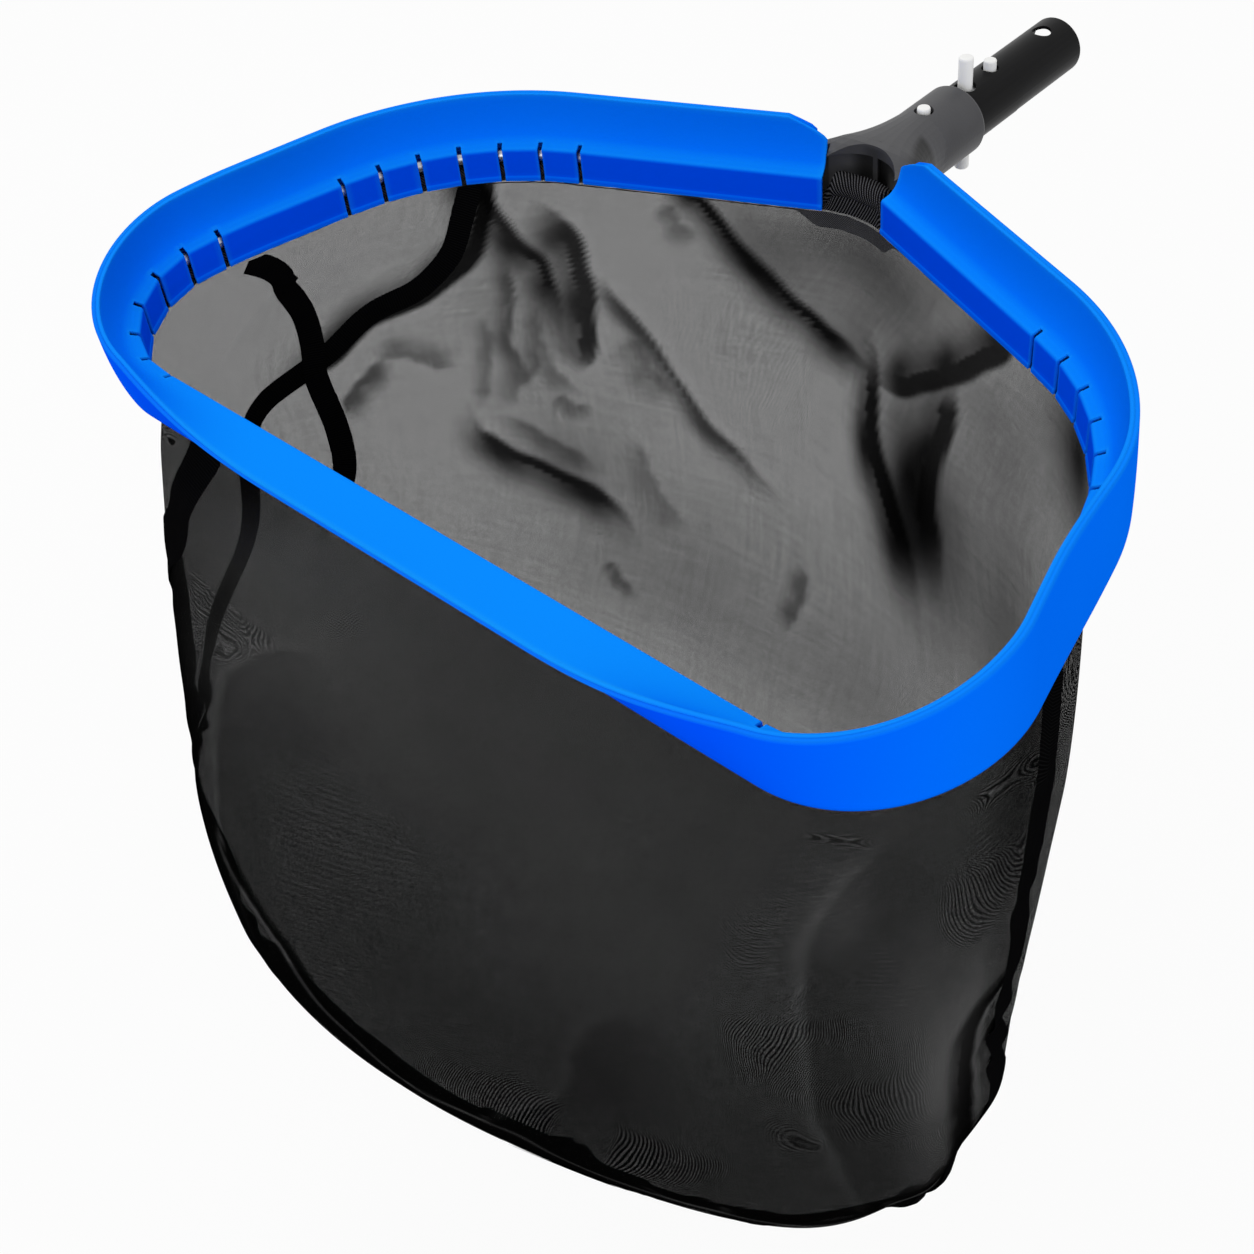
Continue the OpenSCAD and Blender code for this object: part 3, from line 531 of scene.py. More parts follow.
def outer_skin():
    """The outside: a quadratic curve from the back of the lip's tip to the foot of the outer wall. Its
    middle control point lies above the foot, and further out where the lip leans at a middling angle."""
    s = outer_s[:, None]
    a = np.radians(lip_angle(s))
    tip_o, tip_z = lip_len*np.cos(a), lip_len*np.sin(a)
    tip_heading = np.arctan2(tip_z, tip_o - ledge_w)
    from_o, from_z = tip_o + guard_wall*np.sin(tip_heading), tip_z - guard_wall*np.cos(tip_heading)
    foot_o = guard_w(s)
    turn_o = foot_o + (from_o - foot_o)*(0.1 + 0.8*np.sin(2*a))*(from_o > foot_o)
    turn_z = -2*MM + 0*s
    t = np.linspace(0, 1, 22)[None]
    o = (1 - t)**2*from_o + 2*t*(1 - t)*turn_o + t*t*foot_o
    z = (1 - t)**2*from_z + 2*t*(1 - t)*turn_z - t*t*guard_h
    near_tip = np.sqrt(np.maximum(z, 0)/np.maximum(tip_z, 1*MM))
    return beside(sloped(s, np.maximum(0.3, np.maximum(0, 4*near_tip - 3)**1.5)), o, z), o


outside, outside_o = outer_skin()
# Painted shade on the outer skin: its flat mark is 0.5 along the back and sides and fades to 0 at the front.
# Its top row, at the lip's tip, gets a painted highlight.
outer_painted_light = 0.5*ease(0.74, 0.58, share(outer_s))[:, None] + 0*outside_o
outer_painted_highlight = np.zeros(outside_o.shape)
outer_painted_highlight[:, 0] = 0.7
guard = grid_object("blue_edge_guard", [
    {"points": skin[:, ::-1], "keep": skin_keep[:, ::-1],
     "marks": {"flat": flatness[:, ::-1], "edge": edge[:, ::-1]}},
    {"points": outside, "marks": {"flat": outer_painted_light, "edge": outer_painted_highlight}}], guard_blue)
wall = guard.modifiers.new("wall", "SOLIDIFY")
wall.thickness, wall.offset, wall.use_even_offset = guard_wall, -1, False
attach(guard, "frame")
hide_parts("edge_guard")

# %% [markdown]
# ## The hoop and the rolled hem
#
# A bar that follows the rim is a circle carried along the path. A curve with a bevel would
# do it, but the same grid gives the cloth roll a UV map that runs round and along it, which
# its twill needs. The roll is the bag's sleeve: it is pulled thin inside the guard and lies
# full and slack where it crosses the gap at the yoke. A short skirt runs from the roll down
# to the bag's top edge, so no light comes through between them.


# %% Bars along the rim
def rim_tube(s, o, z, r, sides):
    """Circle points beside the path: o plus r cos a outward and z plus r sin a up, for each s."""
    a = -2*np.pi*np.arange(sides)/sides
    s, o, z, r = (np.broadcast_to(x, s.shape)[:, None] for x in (s, o, z, r))
    return beside(s, o + r*np.cos(a), z + r*np.sin(a))


hoop_d, hoop_drop, hoop_end = 7*MM, 6.5*MM, 1.5*MM
hoop_o = guard_wall + 0.3*MM + hoop_d/2
hoop_s = np.linspace(hoop_end, 2*half_len - hoop_end, 480)
hoop_r = hoop_d/2*np.sqrt(1 - ease(2.0*MM, 0, np.minimum(hoop_s, 2*half_len - hoop_s) - hoop_end)**2*0.3)
bar_sides = 20
hoop_ring = rim_tube(hoop_s, hoop_o, -hoop_drop, hoop_r, bar_sides)
hoop = grid_object("bright_hoop", [{"points": hoop_ring, "around": True}], hoop_metal)
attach(hoop, "frame")
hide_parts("hoop")


# %% Black twill
def twill(name, dark, light, pitch, across=0.5, thread=0.00025, rough=0.8):
    """Slanting ribs: a wave of the length along plus a share of the length across, in colour and bump."""
    material, n = new_material(name)
    u, v = cloth_place(n)
    wobble = noise(n, object_place(n), 260, 2)*0.0006
    ribs = ((u + v*across + wobble)*(2*np.pi/pitch)).maths("SINE")*0.5 + 0.5
    yarn = ((u*0.6 - v)*(2*np.pi/(pitch*0.45))).maths("SINE")*0.5 + 0.5
    rib = ribs*(0.6 + 0.4*yarn)
    worn = noise(n, object_place(n), 60, 3)
    colour = (rib.step(0.35, 0.95)*(0.5 + worn)).colour(dark, light)
    finish_material(n, {"Base Color": colour, "Roughness": rough, "Specular IOR Level": 0.0}, rib, thread)
    return material


hem_twill = twill("hem_black_twill", (0.004, 0.004, 0.0045), (0.11, 0.11, 0.115), 1.5*MM, 0.9)
band_twill = twill("band_stitched_twill", (0.015, 0.015, 0.016), (0.17, 0.17, 0.175), 1.1*MM, 0.7)

# %% Rolled hem
hem_d, hem_full_d, hem_rise, hem_shift = 6.8*MM, 12.4*MM, 8.3*MM, 0.7*MM
hem_s = np.linspace(-2*bridge_len, 2*half_len, 560, endpoint=False)
slack = 1 - ease(0.7, 1, np.abs(hem_s + bridge_len)/bridge_len)
hem_o = guard_wall + 0.3*MM + hem_d/2 + hem_shift*slack
hem_z = -(guard_h - hem_d/2 - 0.3*MM) + hem_rise*slack
ripple = 0.22*MM*slack*np.sin(hem_s/(2.9*MM))
hem_r = (hem_d + (hem_full_d - hem_d)*slack)/2 - 0.25*MM*slack + ripple
hem_ring = rim_tube(hem_s, hem_o, hem_z, hem_r, bar_sides)
hem_ring = np.concatenate([hem_ring, hem_ring[:1]])
hem_uv = np.stack(np.broadcast_arrays(
    np.append(hem_s, 2*half_len)[:, None], np.linspace(0, np.pi*hem_d, bar_sides + 1)[None]), -1)
closed = lambda x: np.append(x, x[0])[:, None]
skirt_t = np.linspace(0, 1, 4)[None]
skirt_o = closed(hem_o - 0.7*hem_r)*(1 - skirt_t) + guard_wall/2*skirt_t
skirt_z = closed(hem_z - 0.7*hem_r)*(1 - skirt_t) - (guard_h + 0.3*MM)*skirt_t - 1.5*MM*skirt_t*(1 - skirt_t)
skirt = beside(hem_uv[:, :1, 0], skirt_o, skirt_z)
skirt_uv = np.stack(np.broadcast_arrays(hem_uv[:, :1, 0], 4*MM*skirt_t), -1)
hem = grid_object("rolled_hem", [{"points": hem_ring, "around": True, "uv": hem_uv},
                                 {"points": skirt, "uv": skirt_uv}], hem_twill)
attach(hem, "frame")
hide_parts("hem_roll")

# %% [markdown]
# ## The bag's shape
#
# The bag hangs from the rim, narrows to a bottom seam and swings forward and to the right.
# A cloth simulation could drop it into place, but it would lose the seams' exact run. So
# the bag is lofted: at each share v of its depth there is a rounded oblong ring, a is the
# direction round it in degrees, and near the rim the ring blends into the rim's outline.
# Puckers along the seams and soft folds are then pressed into it.

# %% Bag values
bag_depth, round_from = 449*MM, 244*MM
bag_half_w, bag_half_t, bag_end_t = 236.5*MM, 107*MM, 18*MM
bag_mid_y, sway_x, sway_y = 86*MM, 17.6*MM, 88.6*MM
neck_front, neck_back = 54*MM, 186*MM
bag_turn, seam_swing, bag_taper = 17, 46, 0.09
round_v, close_angle, close_power = 0.45, 89, 1.43
thin_power, sway_power, bag_square, neck_stretch = 3.5, 0.81, 2.6, 1.6
rim_seat, mesh_gap = guard_wall/2, 0.3*MM
look_from = np.array([0, rim_y + 0.573*(front_y - rim_y)])
seen_s = np.linspace(-bridge_len, half_len, 121)
seen = beside(seen_s, rim_seat, 0.0)[:, :2] - look_from
seen_angle = -np.degrees(np.arctan2(seen[:, 1], seen[:, 0]))


def rim_toward(a):
    """The rim's point in a direction a, found from a table of directions. The left half mirrors the right."""
    w = np.where(a > 90, a - 360, a)
    s = np.interp(-np.where(w < -90, -180 - w, w), seen_angle, seen_s)
    return beside(s, rim_seat, 0.0)*np.stack([np.where(w < -90, -1.0, 1.0)] + [np.ones_like(w)]*2, -1)


# %% Bag loft
def bag_mid(v, a):
    """Below round_v the width closes as a quarter ellipse. Each ring is a superellipse, turned and
    swayed by the depth, and ease() blends it out of the rim's outline over the neck's depth."""
    v, a = np.broadcast_arrays(np.asarray(v, float), np.asarray(a, float))
    a = a + seam_swing*(1 - np.cos(np.radians(a)))/2*(1 - ease(0, 0.3, v))
    turn = np.radians(np.maximum(0, close_angle*(v - round_v)/(1 - round_v)))
    depth = np.where(v < round_v, round_from*v/round_v,
                     round_from + (bag_depth - round_from)*np.sin(turn)**(1/close_power))
    t = depth/bag_depth
    half_w = bag_half_w*(1 - bag_taper*t)*np.cos(turn)
    half_t = np.minimum(half_w, bag_end_t + (bag_half_t - bag_end_t)*(1 - t**thin_power))
    c, s = np.cos(np.radians(a)), np.sin(np.radians(a))
    k = (np.abs(c)**bag_square + np.abs(s)**bag_square)**(1/bag_square)
    ex, ey, psi, hang = half_w*c/k, half_t*s/k, np.radians(bag_turn*t), t**sway_power
    low_x = ex*np.cos(psi) - ey*np.sin(psi) + sway_x*hang
    low_y = ex*np.sin(psi) + ey*np.cos(psi) + front_y + bag_mid_y - sway_y*hang
    top = rim_toward(np.degrees(np.arctan2(bag_half_t*neck_stretch*s, bag_half_w*c)))
    w = ease(0, 1, depth/(neck_front + (neck_back - neck_front)*np.maximum(0, s)))
    return np.stack([top[..., 0] + (low_x - top[..., 0])*w, top[..., 1] + (low_y - top[..., 1])*w,
                     top[..., 2] - guard_h - mesh_gap - depth - (top[..., 2] - ridge_z)*w], -1)


def bag_normal(v, a):
    """Outward direction: the cross product of the steps down and round the bag."""
    down = bag_mid(np.minimum(1, v + 0.01), a) - bag_mid(np.maximum(0, v - 0.01), a)
    return unit(np.cross(down, bag_mid(v, a + 1) - bag_mid(v, a - 1)))


# %% Broad hollows
hollows = np.array([
    (0.15, 64, 8), (0.12, 103, 4), (0.25, 110, 6), (0.2, 88, 5), (0.27, 320, 8), (0.27, 240, 7),
    (0.5, 283, 6), (0.62, 335, 5), (0.62, 55, 6), (0.62, 125, 6)], float)
hollow_high, hollow_wide = 0.09, 10
print("hollows:", len(hollows))


def turn_between(a, b):
    """Degrees from b to a, from -180 to 180."""
    return (a - b + 540) % 360 - 180


def bag_hollow(v, a):
    """Metres that the slack cloth is pressed in: a sum of bells, each at a depth and a direction."""
    at, direction, depth = hollows.T
    off_v, off_a = (v[..., None] - at)/hollow_high, turn_between(a[..., None], direction)/hollow_wide
    bells = depth*np.exp(-off_v**2 - off_a**2)
    return ease(0.02, 0.09, v)*bells.sum(-1)*MM


# %% Seams
seam_drift, bottom_drift = 20, 55


def left_seam(v):
    """Direction of the left seam: it starts at the front corner and drifts on, and again near the bottom."""
    return 180 + seam_drift*(ease(0, 0.14, v) + ease(0.72, 0.9, v))


def right_seam(v):
    """Direction of the right seam: along the side, then forward near the bottom."""
    return -bottom_drift*ease(0.5, 0.97, v)


# %% [markdown]
# ## Folds
#
# A fold is a short route over the cloth. Near it the cloth is pressed inward, and the mesh
# there lets less light through: partly because the cloth is bunched, partly as painted shade
# in the crease. One side of a fold is crisp and the other fades, a painted shadow of the pleat
# that lies over. Each fold here is a few stops of v and a, its width, how far its soft side
# fades, how deep it is and how dark the mesh gets.
# The cloth's sewn edges, low on the front, are folds with no depth and two crisp sides.

# %% Fold routes
folds = [
    ([(0.0, 115), (0.03, 116), (0.065, 117.5), (0.095, 123), (0.105, 129.5), (0.13, 135), (0.145, 141),
      (0.165, 153)], 9, 9, 2, 0.97),
    ([(0.0, 116), (0.02, 115), (0.06, 112), (0.08, 109), (0.11, 108.5), (0.15, 108.5)], 6, 20, 3, 0.95),
    ([(0.02, 110), (0.06, 105.5), (0.1, 104.5), (0.15, 106.5), (0.165, 108)], 9, 24, 3, 0.93),
    ([(0.07, 113), (0.11, 113.5), (0.15, 115), (0.19, 113)], 3, 10, 2, 0.7),
    ([(0.14, 111), (0.165, 113), (0.18, 116), (0.2, 117)], 4, 12, 2, 0.5),
    ([(0.11, 110.5), (0.14, 111.5), (0.17, 110), (0.185, 107)], 3, 10, 2, 0.5),
    ([(0.2, 102), (0.225, 101), (0.245, 98), (0.26, 94)], 4, 14, 2, 0.4),
    ([(0.12, 117), (0.15, 117.5), (0.18, 119), (0.2, 121)], 3, 8, 2, 0.5),
    ([(0.19, 122.5), (0.222, 122), (0.234, 117.5), (0.24, 112.5), (0.25, 107), (0.262, 103.5), (0.28, 100)],
     5, 16, 3, 0.95),
    ([(0.2, 119), (0.215, 114), (0.222, 110), (0.235, 106)], 2.5, 8, 2, 0.55),
    ([(0.08, 103), (0.1, 101.5), (0.138, 97), (0.168, 94), (0.19, 91), (0.208, 85.5), (0.218, 79)],
     2.6, 10, 3, 0.86),
    ([(0.13, 101), (0.155, 99), (0.175, 96)], 5, 12, 2, 0.45),
    ([(0.186, 111.5), (0.19, 109), (0.192, 106)], 3, 6, 2, 0.55),
    ([(0.295, 105), (0.304, 102.5), (0.32, 99)], 3, 6, 2, 0.6),
    ([(0.0, 90.5), (0.01, 89.5), (0.048, 85.5), (0.084, 81), (0.104, 77.5), (0.108, 72), (0.095, 66)],
     5, 14, 3, 0.97),
    ([(0.01, 94), (0.03, 92.5), (0.05, 90)], 4, 10, 2, 0.5),
    ([(0.0, 49), (0.05, 55.5), (0.082, 62.5), (0.105, 70)], 10, 14, 4, 0.93),
    ([(0.08, 72), (0.106, 69), (0.136, 68.5), (0.16, 66), (0.18, 63), (0.205, 60.5), (0.236, 58.5)],
     8, 14, 4, 0.97),
    ([(0.05, 55.5), (0.08, 57), (0.108, 57.5), (0.138, 59), (0.165, 59), (0.19, 57.5), (0.215, 57)],
     9, 14, 3, 0.93),
    ([(0.24, 77.8), (0.264, 77), (0.295, 79)], 4, 9, 2, 0.6),
    ([(0.2, 138), (0.17, 133), (0.15, 128)], 4, 9, 2, 0.75),
    ([(0.165, 121), (0.15, 126), (0.14, 131)], 4, 9, 2, 0.55),
    ([(0.096, 64), (0.106, 72), (0.102, 78), (0.08, 82), (0.045, 86), (0.01, 90), (0.0, 91)], 2, 42, 0, 0.5),
    ([(0.452, 227), (0.466, 232), (0.478, 239), (0.532, 242), (0.566, 246.5), (0.62, 250), (0.615, 261)],
     8, 1, 0, 0.97),
    ([(0.63, 252), (0.612, 261), (0.624, 271.5), (0.645, 282), (0.626, 292.5), (0.602, 300)], 9, 1, 0, 0.97),
    ([(0.615, 295), (0.602, 300), (0.598, 307.5), (0.586, 315), (0.554, 322.5), (0.534, 332), (0.536, 340)],
     9, 1, 0, 0.97),
    ([(0.534, 336), (0.53, 346), (0.5, 349), (0.452, 344), (0.392, 342.5), (0.338, 343), (0.308, 348),
      (0.3, 358)], 9, 1, 0, 0.97),
    ([(0.05, 330), (0.2, 320), (0.4, 322), (0.62, 335)], 16, 40, 3, 0.3),
    ([(0.1, 240), (0.3, 236), (0.55, 228)], 20, 40, 3, 0.25),
    ([(0.3, 300), (0.5, 285), (0.7, 262)], 16, 40, 3, 0.25),
]
route_points, route_smoothing, fold_reach = 80, 6, 0.22
print("folds:", len(folds))


def fold_effects(v, a, points, normal):
    """Nearest stop of each fold gives a signed distance, with a small waver along the fold. A bell of it
    presses the cloth in. A steep step on its crisp side and a slow fade on its soft side close the mesh:
    partly the bunched cloth, partly painted shade, the slow fade being the pleat's painted shadow.
    A narrow bell past the crisp side is the crest, where the cloth turns up to the light. A fade of 1
    marks a sewn edge: it is even all along and crisp on both sides. A fold that starts at v = 0 starts
    at its full strength."""
    press, open_share, crest = np.zeros(v.shape), np.ones(v.shape), np.zeros(v.shape)
    for route, width, fade, depth, dark in folds:
        route = np.array(route, float)
        fine = np.linspace(0, len(route) - 1, route_points)
        stop_v, stop_a = (np.interp(fine, np.arange(len(route)), route[:, k]) for k in (0, 1))
        for _ in range(route_smoothing):
            stop_v[1:-1] = (stop_v[:-2] + 2*stop_v[1:-1] + stop_v[2:])/4
            stop_a[1:-1] = (stop_a[:-2] + 2*stop_a[1:-1] + stop_a[2:])/4
        line = bag_mid(stop_v, stop_a)
        ahead_line = unit(np.gradient(line, axis=0))
        close = np.linalg.norm(points - line[route_points//2], axis=-1) < fold_reach
        gap = points[close][:, None] - line
        near = np.linalg.norm(gap, axis=-1).argmin(1)
        gap = gap[np.arange(len(near)), near]
        side = np.einsum("ij,ij->i", np.cross(ahead_line[near], normal[close]), gap)
        far = np.linalg.norm(gap, axis=-1)*np.sign(side)/MM
        far = far + 0.8*np.sin(near*0.13 + depth) + 0.35*np.sin(near*0.37 + width)
        gone = near/(route_points - 1)
        taper = ease(0, 0.22, gone)*ease(0, 0.3, 1 - gone)
        if route[0, 0] == 0:
            taper = ease(0, 0.3, 1 - gone)
        if fade == 1:
            taper = 1.0 + 0*near
        w = width*(0.35 + 0.65*taper)
        press[close] += depth*MM*taper*np.exp(-(far/(w + 3))**2)
        # The fold's darkness: partly bunched cloth, partly painted shade; the soft side is a painted shadow.
        soft = ease(-w - fade, -w*0.2, far)**1.3*(0.85 + 0.15*np.sin(near*0.21 + fade))
        open_share[close] *= 1 - dark*taper*np.where(far > 0, ease(w + 1.8, w - 1.2, far), soft)
        # Painted highlight: the crest past the crisp side.
        crest[close] += 0.35*dark*taper*np.exp(-((far - w - 3.5)/3)**2)
    return press*ease(0, 0.04, v), 1 - open_share, crest


# %% [markdown]
# ## Broad tones
#
# Slack cloth lies doubled in some places and stretched in others, so the mesh closes and
# opens over a hand's width. A painted map could say where, but a few soft bells are enough.
# Tones close the mesh, partly as doubled cloth and partly as painted shade, and a second
# table of bells paints highlights that make its yarn paler, where it turns up to the light.

# %% Broad tones
# Partly painted shade: each bell closes the mesh; columns are depth v, direction a, height, width and
# strength.
tones = np.array([
    (0.285, 99, 0.06, 14, 0.3), (0.3, 84, 0.07, 14, 0.18), (0.31, 66, 0.08, 14, 0.32),
    (0.18, 45, 0.07, 9, 0.62), (0.045, 67, 0.04, 11, 0.46), (0.145, 62, 0.06, 5, 0.8),
    (0.02, 31, 0.06, 9, 0.95), (0.03, 76, 0.035, 9, 0.36), (0.17, 56.5, 0.06, 5, 0.5),
    (0.5, 285, 0.22, 60, 0.5), (0.235, 111, 0.02, 5, 0.3), (0.0, 62, 0.03, 14, 0.3),
    (0.07, 48, 0.05, 8, 0.35), (0.22, 112, 0.03, 7, 0.2), (0.12, 115, 0.05, 5, 0.2),
    (0.1, 352, 0.1, 10, 0.6)], float)
# Painted highlights: bells that make the yarn paler where the cloth turns up to the light.
painted_highlights = np.array([
    (0.38, 338, 0.1, 7, 0.8), (0.25, 331, 0.08, 7, 0.15), (0.06, 212, 0.08, 14, 0.2),
    (0.16, 232, 0.1, 12, 0.22), (0.16, 318, 0.05, 5, 0.3), (0.3, 345, 0.07, 5, 0.4)], float)
print("tones:", len(tones), "hazes:", len(painted_highlights))


def broad(table, v, a):
    """A sum of bells, each at a depth and a direction, with its own height, width and strength."""
    at, direction, high, wide, strong = table.T
    off_v, off_a = (v[..., None] - at)/high, turn_between(a[..., None], direction)/wide
    return (strong*np.exp(-off_v**2 - off_a**2)).sum(-1)


def bag_skin(v, a, off=0.0):
    """The loft, pressed in by the folds and puckered by short waves that die away from the two seams.
    Gives the points and two marks: how closed the mesh is, from the folds and tones, partly bunched cloth
    and partly painted shade, and painted highlights, from the crests and the highlight bells."""
    v, a = np.broadcast_arrays(np.asarray(v, float), np.asarray(a, float))
    points, normal = bag_mid(v, a), bag_normal(v, a)
    press, closed_and_shaded, crest = fold_effects(v, a, points, normal)
    to_seam = np.minimum(np.abs(turn_between(a, left_seam(v))), np.abs(turn_between(a, right_seam(v))))
    waves = np.sin(v*95 + 2.2*np.sin(v*31))*2.2 + np.sin(v*43 + 1.0)*2.2
    pucker = waves*np.exp(-(to_seam/9)**2)*ease(0.12, 0.4, v)*(1 - ease(0.96, 1, v))
    slide = pucker*MM - bag_hollow(v, a) - press
    # The tones close the mesh further: partly doubled cloth, partly painted shade.
    closed_and_shaded = 1 - (1 - closed_and_shaded)*(1 - np.minimum(0.97, broad(tones, v, a)))
    return points + (slide + off)[..., None]*normal, closed_and_shaded, np.clip(crest + broad(painted_highlights, v, a), 0, 1)


# %% [markdown]
# ## Open mesh cloth
#
# The bag is knitted from fine black yarn. Modelling every yarn would take millions of
# faces, so one thin surface carries a weave in its alpha: two sets of threads cross at a
# real pitch, and the light comes through the holes between them. The marks on the surface
# close the holes where a fold bunches the cloth, partly real and partly painted shade in the
# creases, darken the yarn there as painted shade, and paint highlights on the yarn where it
# turns up to the light. Slow streaks along the threads stop it looking printed. The front
# panel's weave is the finer one, because it is seen close, and watered lines run over it.


# %% Mesh material
water_pitch = 4.2*MM


def open_mesh(name, pitch, open_share, dark, light, watering):
    """A hole is where both sets of threads are thin. Alpha is one less the hole, times what the gather
    mark, the streaks and the watered lines leave. Those are bent waves across the cloth, in patches."""
    material, n = new_material(name)
    u, v = cloth_place(n)
    place = object_place(n)
    drift = (noise(n, place, 14, 2) - 0.5)*0.006
    thread_u = ((u + drift)*(np.pi/pitch)).maths("SINE").maths("ABSOLUTE")
    thread_v = ((v + drift)*(np.pi/pitch)).maths("SINE").maths("ABSOLUTE")
    middle = np.sin(np.pi/2*(1 - open_share**0.5))
    hole = thread_u.step(middle - 0.1, middle + 0.1)*thread_v.step(middle - 0.1, middle + 0.1)
    stretched = n.node("ShaderNodeCombineXYZ", {}, {0: u, 1: v*0.08})
    crossed = n.node("ShaderNodeCombineXYZ", {}, {0: u*0.06, 1: v})
    streaks = noise(n, stretched, 420, 2)*0.5 + noise(n, crossed, 420, 2)*0.5
    clouds = noise(n, place, 11, 3)
    bend = (noise(n, place, 7, 1) - 0.5)*0.016
    watered = ((v + u*0.4 + bend)*(2*np.pi/water_pitch)).maths("SINE")*0.5 + 0.5
    patch = noise(n, place, 5.5, 1).step(0.4, 0.68)*watering
    slack = (0.72 + streaks*0.56)*(0.82 + clouds*0.36)*(1 - patch*(1 - watered))
    # The fold mark closes the holes: partly bunched cloth, partly painted shade.
    alpha = 1 - hole*slack*(1 - mark(n, "gather"))
    fuzz = (1 - thread_u)*(1 - thread_v)
    yarn = fuzz.step(0.1, 0.9).colour(dark, light)
    # Painted highlight: the yarn is paler by the mark of crests and highlight bells.
    lit = (mark(n, "haze")*(0.8 + 0.4*clouds)).colour(yarn, (0.085, 0.085, 0.085))
    # Painted shade: the yarn darkens towards black where the folds and tones close the mesh.
    shaded_yarn = (mark(n, "gather")*0.85).colour(lit, (0.0012, 0.0012, 0.0012))
    finish_material(n, {"Base Color": shaded_yarn, "Roughness": 0.85,
                        "Specular IOR Level": 0.0, "Alpha": alpha}, fuzz, 0.00012)
    return material


yarn_dark, yarn_light = (0.0015, 0.0015, 0.0015), (0.006, 0.006, 0.006)
back_mesh = open_mesh("back_panel_mesh", 0.5*MM, 0.2, yarn_dark, yarn_light, 0.0)
front_mesh = open_mesh("front_panel_mesh", 0.22*MM, 0.16, yarn_dark, yarn_light, 0.3)
print("cloths:", back_mesh.name, front_mesh.name)


# %% Bag panels
bag_pole = bag_mid(1.0, np.arange(0, 360, 5)).mean(0)
folded_share, lower_rows = 0.33, 121


def panel(name, first, last, material, rows, cols):
    """The bag from one seam round to the other, closed in one point. Its UV map comes from arc lengths.
    The upper third, which has the folds, gets the given rows, and the rest gets lower_rows."""
    v = np.concatenate([np.linspace(0, folded_share, rows, endpoint=False),
                        np.linspace(folded_share, 1, lower_rows)])[:, None]
    points, closed_and_shaded, haze = bag_skin(v, first(v) + (last(v) - first(v))*np.linspace(0, 1, cols))
    points[-1] = bag_pole
    down = arc_lengths(points)
    across = np.swapaxes(arc_lengths(np.swapaxes(points, 0, 1)), 0, 1)
    half = cols//2
    uv = np.stack([across - across[:, half:half + 1], down[:, half:half + 1] + 0*down], -1)
    made = grid_object(name, [{"points": points, "uv": uv, "marks": {"gather": closed_and_shaded, "haze": haze}}],
                       material, 180)
    corner = points[:-1, :-1]
    cell = np.linalg.norm(np.cross(points[1:, :-1] - corner, points[:-1, 1:] - corner), axis=-1)
    wide, deep, area = across[:, -1].max(), down.max(), cell.sum()
    print(f"{name}: {wide:.3f} m wide, {deep:.3f} m deep, {area:.4f} square metres")
    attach(made, "frame")
    return made, wide, deep, area


back_panel, back_w, back_l, back_area = panel("mesh_back_panel", right_seam, left_seam, back_mesh, 160, 341)
front_panel, front_w, front_l, front_area = panel(
    "mesh_front_panel", left_seam, lambda v: 360 + right_seam(v), front_mesh, 90, 221)
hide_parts("net_back_panel")
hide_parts("net_front_panel")

# %% [markdown]
# ## Tapes
#
# Tapes bind the seams and stiffen the bag's left wall. A tape could be a flat ribbon laid
# in space, but it would cut through the folds. So each edge of the tape is a route over
# the same skin as the bag: a step sideways in metres is turned into a step in v and a,
# from how far the loft moves for each.


# %% Tape helper
tape_lift, tape_smoothing, tape_cols = 0.9*MM, 12, 9
tape_middle = tape_cols//2
tape_cloth = twill("tape_black_ribbed", (0.0015, 0.0015, 0.0017), (0.006, 0.006, 0.0063), 1.3*MM, 0.0,
                   0.0002)


def tape(name, node_name, route, off, width):
    """Smooths the route's stops, then solves for the step in v and a that gives each sideways distance."""
    route = np.array(route, float)
    length = np.linalg.norm(np.diff(bag_mid(*route.T), axis=0), axis=1)
    far = np.concatenate([[0], np.cumsum(length)])
    fine = np.linspace(0, far[-1], max(24, int(far[-1]/(3*MM))))
    v, a = (np.interp(fine, far, route[:, k]) for k in (0, 1))
    for _ in range(tape_smoothing):
        v[1:-1] = (v[:-2] + 2*v[1:-1] + v[2:])/4
        a[1:-1] = (a[:-2] + 2*a[1:-1] + a[2:])/4
    along = unit(np.gradient(bag_mid(v, a), axis=0))
    side = unit(np.cross(bag_normal(v, a), along))
    below, above = np.minimum(1, v + 0.002), np.maximum(0, v - 0.002)
    per_v = (bag_mid(below, a) - bag_mid(above, a))/(below - above)[:, None]
    per_a = bag_mid(v, a + 0.5) - bag_mid(v, a - 0.5)
    dot = lambda p, q: (p*q).sum(-1)
    vv, va, aa = dot(per_v, per_v), dot(per_v, per_a), dot(per_a, per_a)
    v_side, a_side = dot(per_v, side), dot(per_a, side)
    det = vv*aa - va*va
    step_v, step_a = (v_side*aa - a_side*va)/det, (a_side*vv - v_side*va)/det
    across = np.linspace(-width/2, width/2, tape_cols)[None]
    points, _, _ = bag_skin(np.clip(v[:, None] + step_v[:, None]*across, 0, 1),
                            a[:, None] + step_a[:, None]*across, off)
    run = arc_lengths(points)[:, tape_middle:tape_middle + 1]
    uv = np.stack(np.broadcast_arrays(run, across), -1)
    middle = points[:-1, tape_middle]
    facing = np.cross(points[1:, tape_middle] - middle, points[:-1, -1] - middle)
    if (facing*bag_normal(v, a)[:-1]).sum() < 0:
        points, uv = points[:, ::-1], uv[:, ::-1]
    made = grid_object(name, [{"points": points, "uv": uv}], tape_cloth, 180)
    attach(made, "frame")
    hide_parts(node_name)
    print(f"{name}: {width*1000:.0f} mm wide, {run[-1, 0]*1000:.0f} mm long")


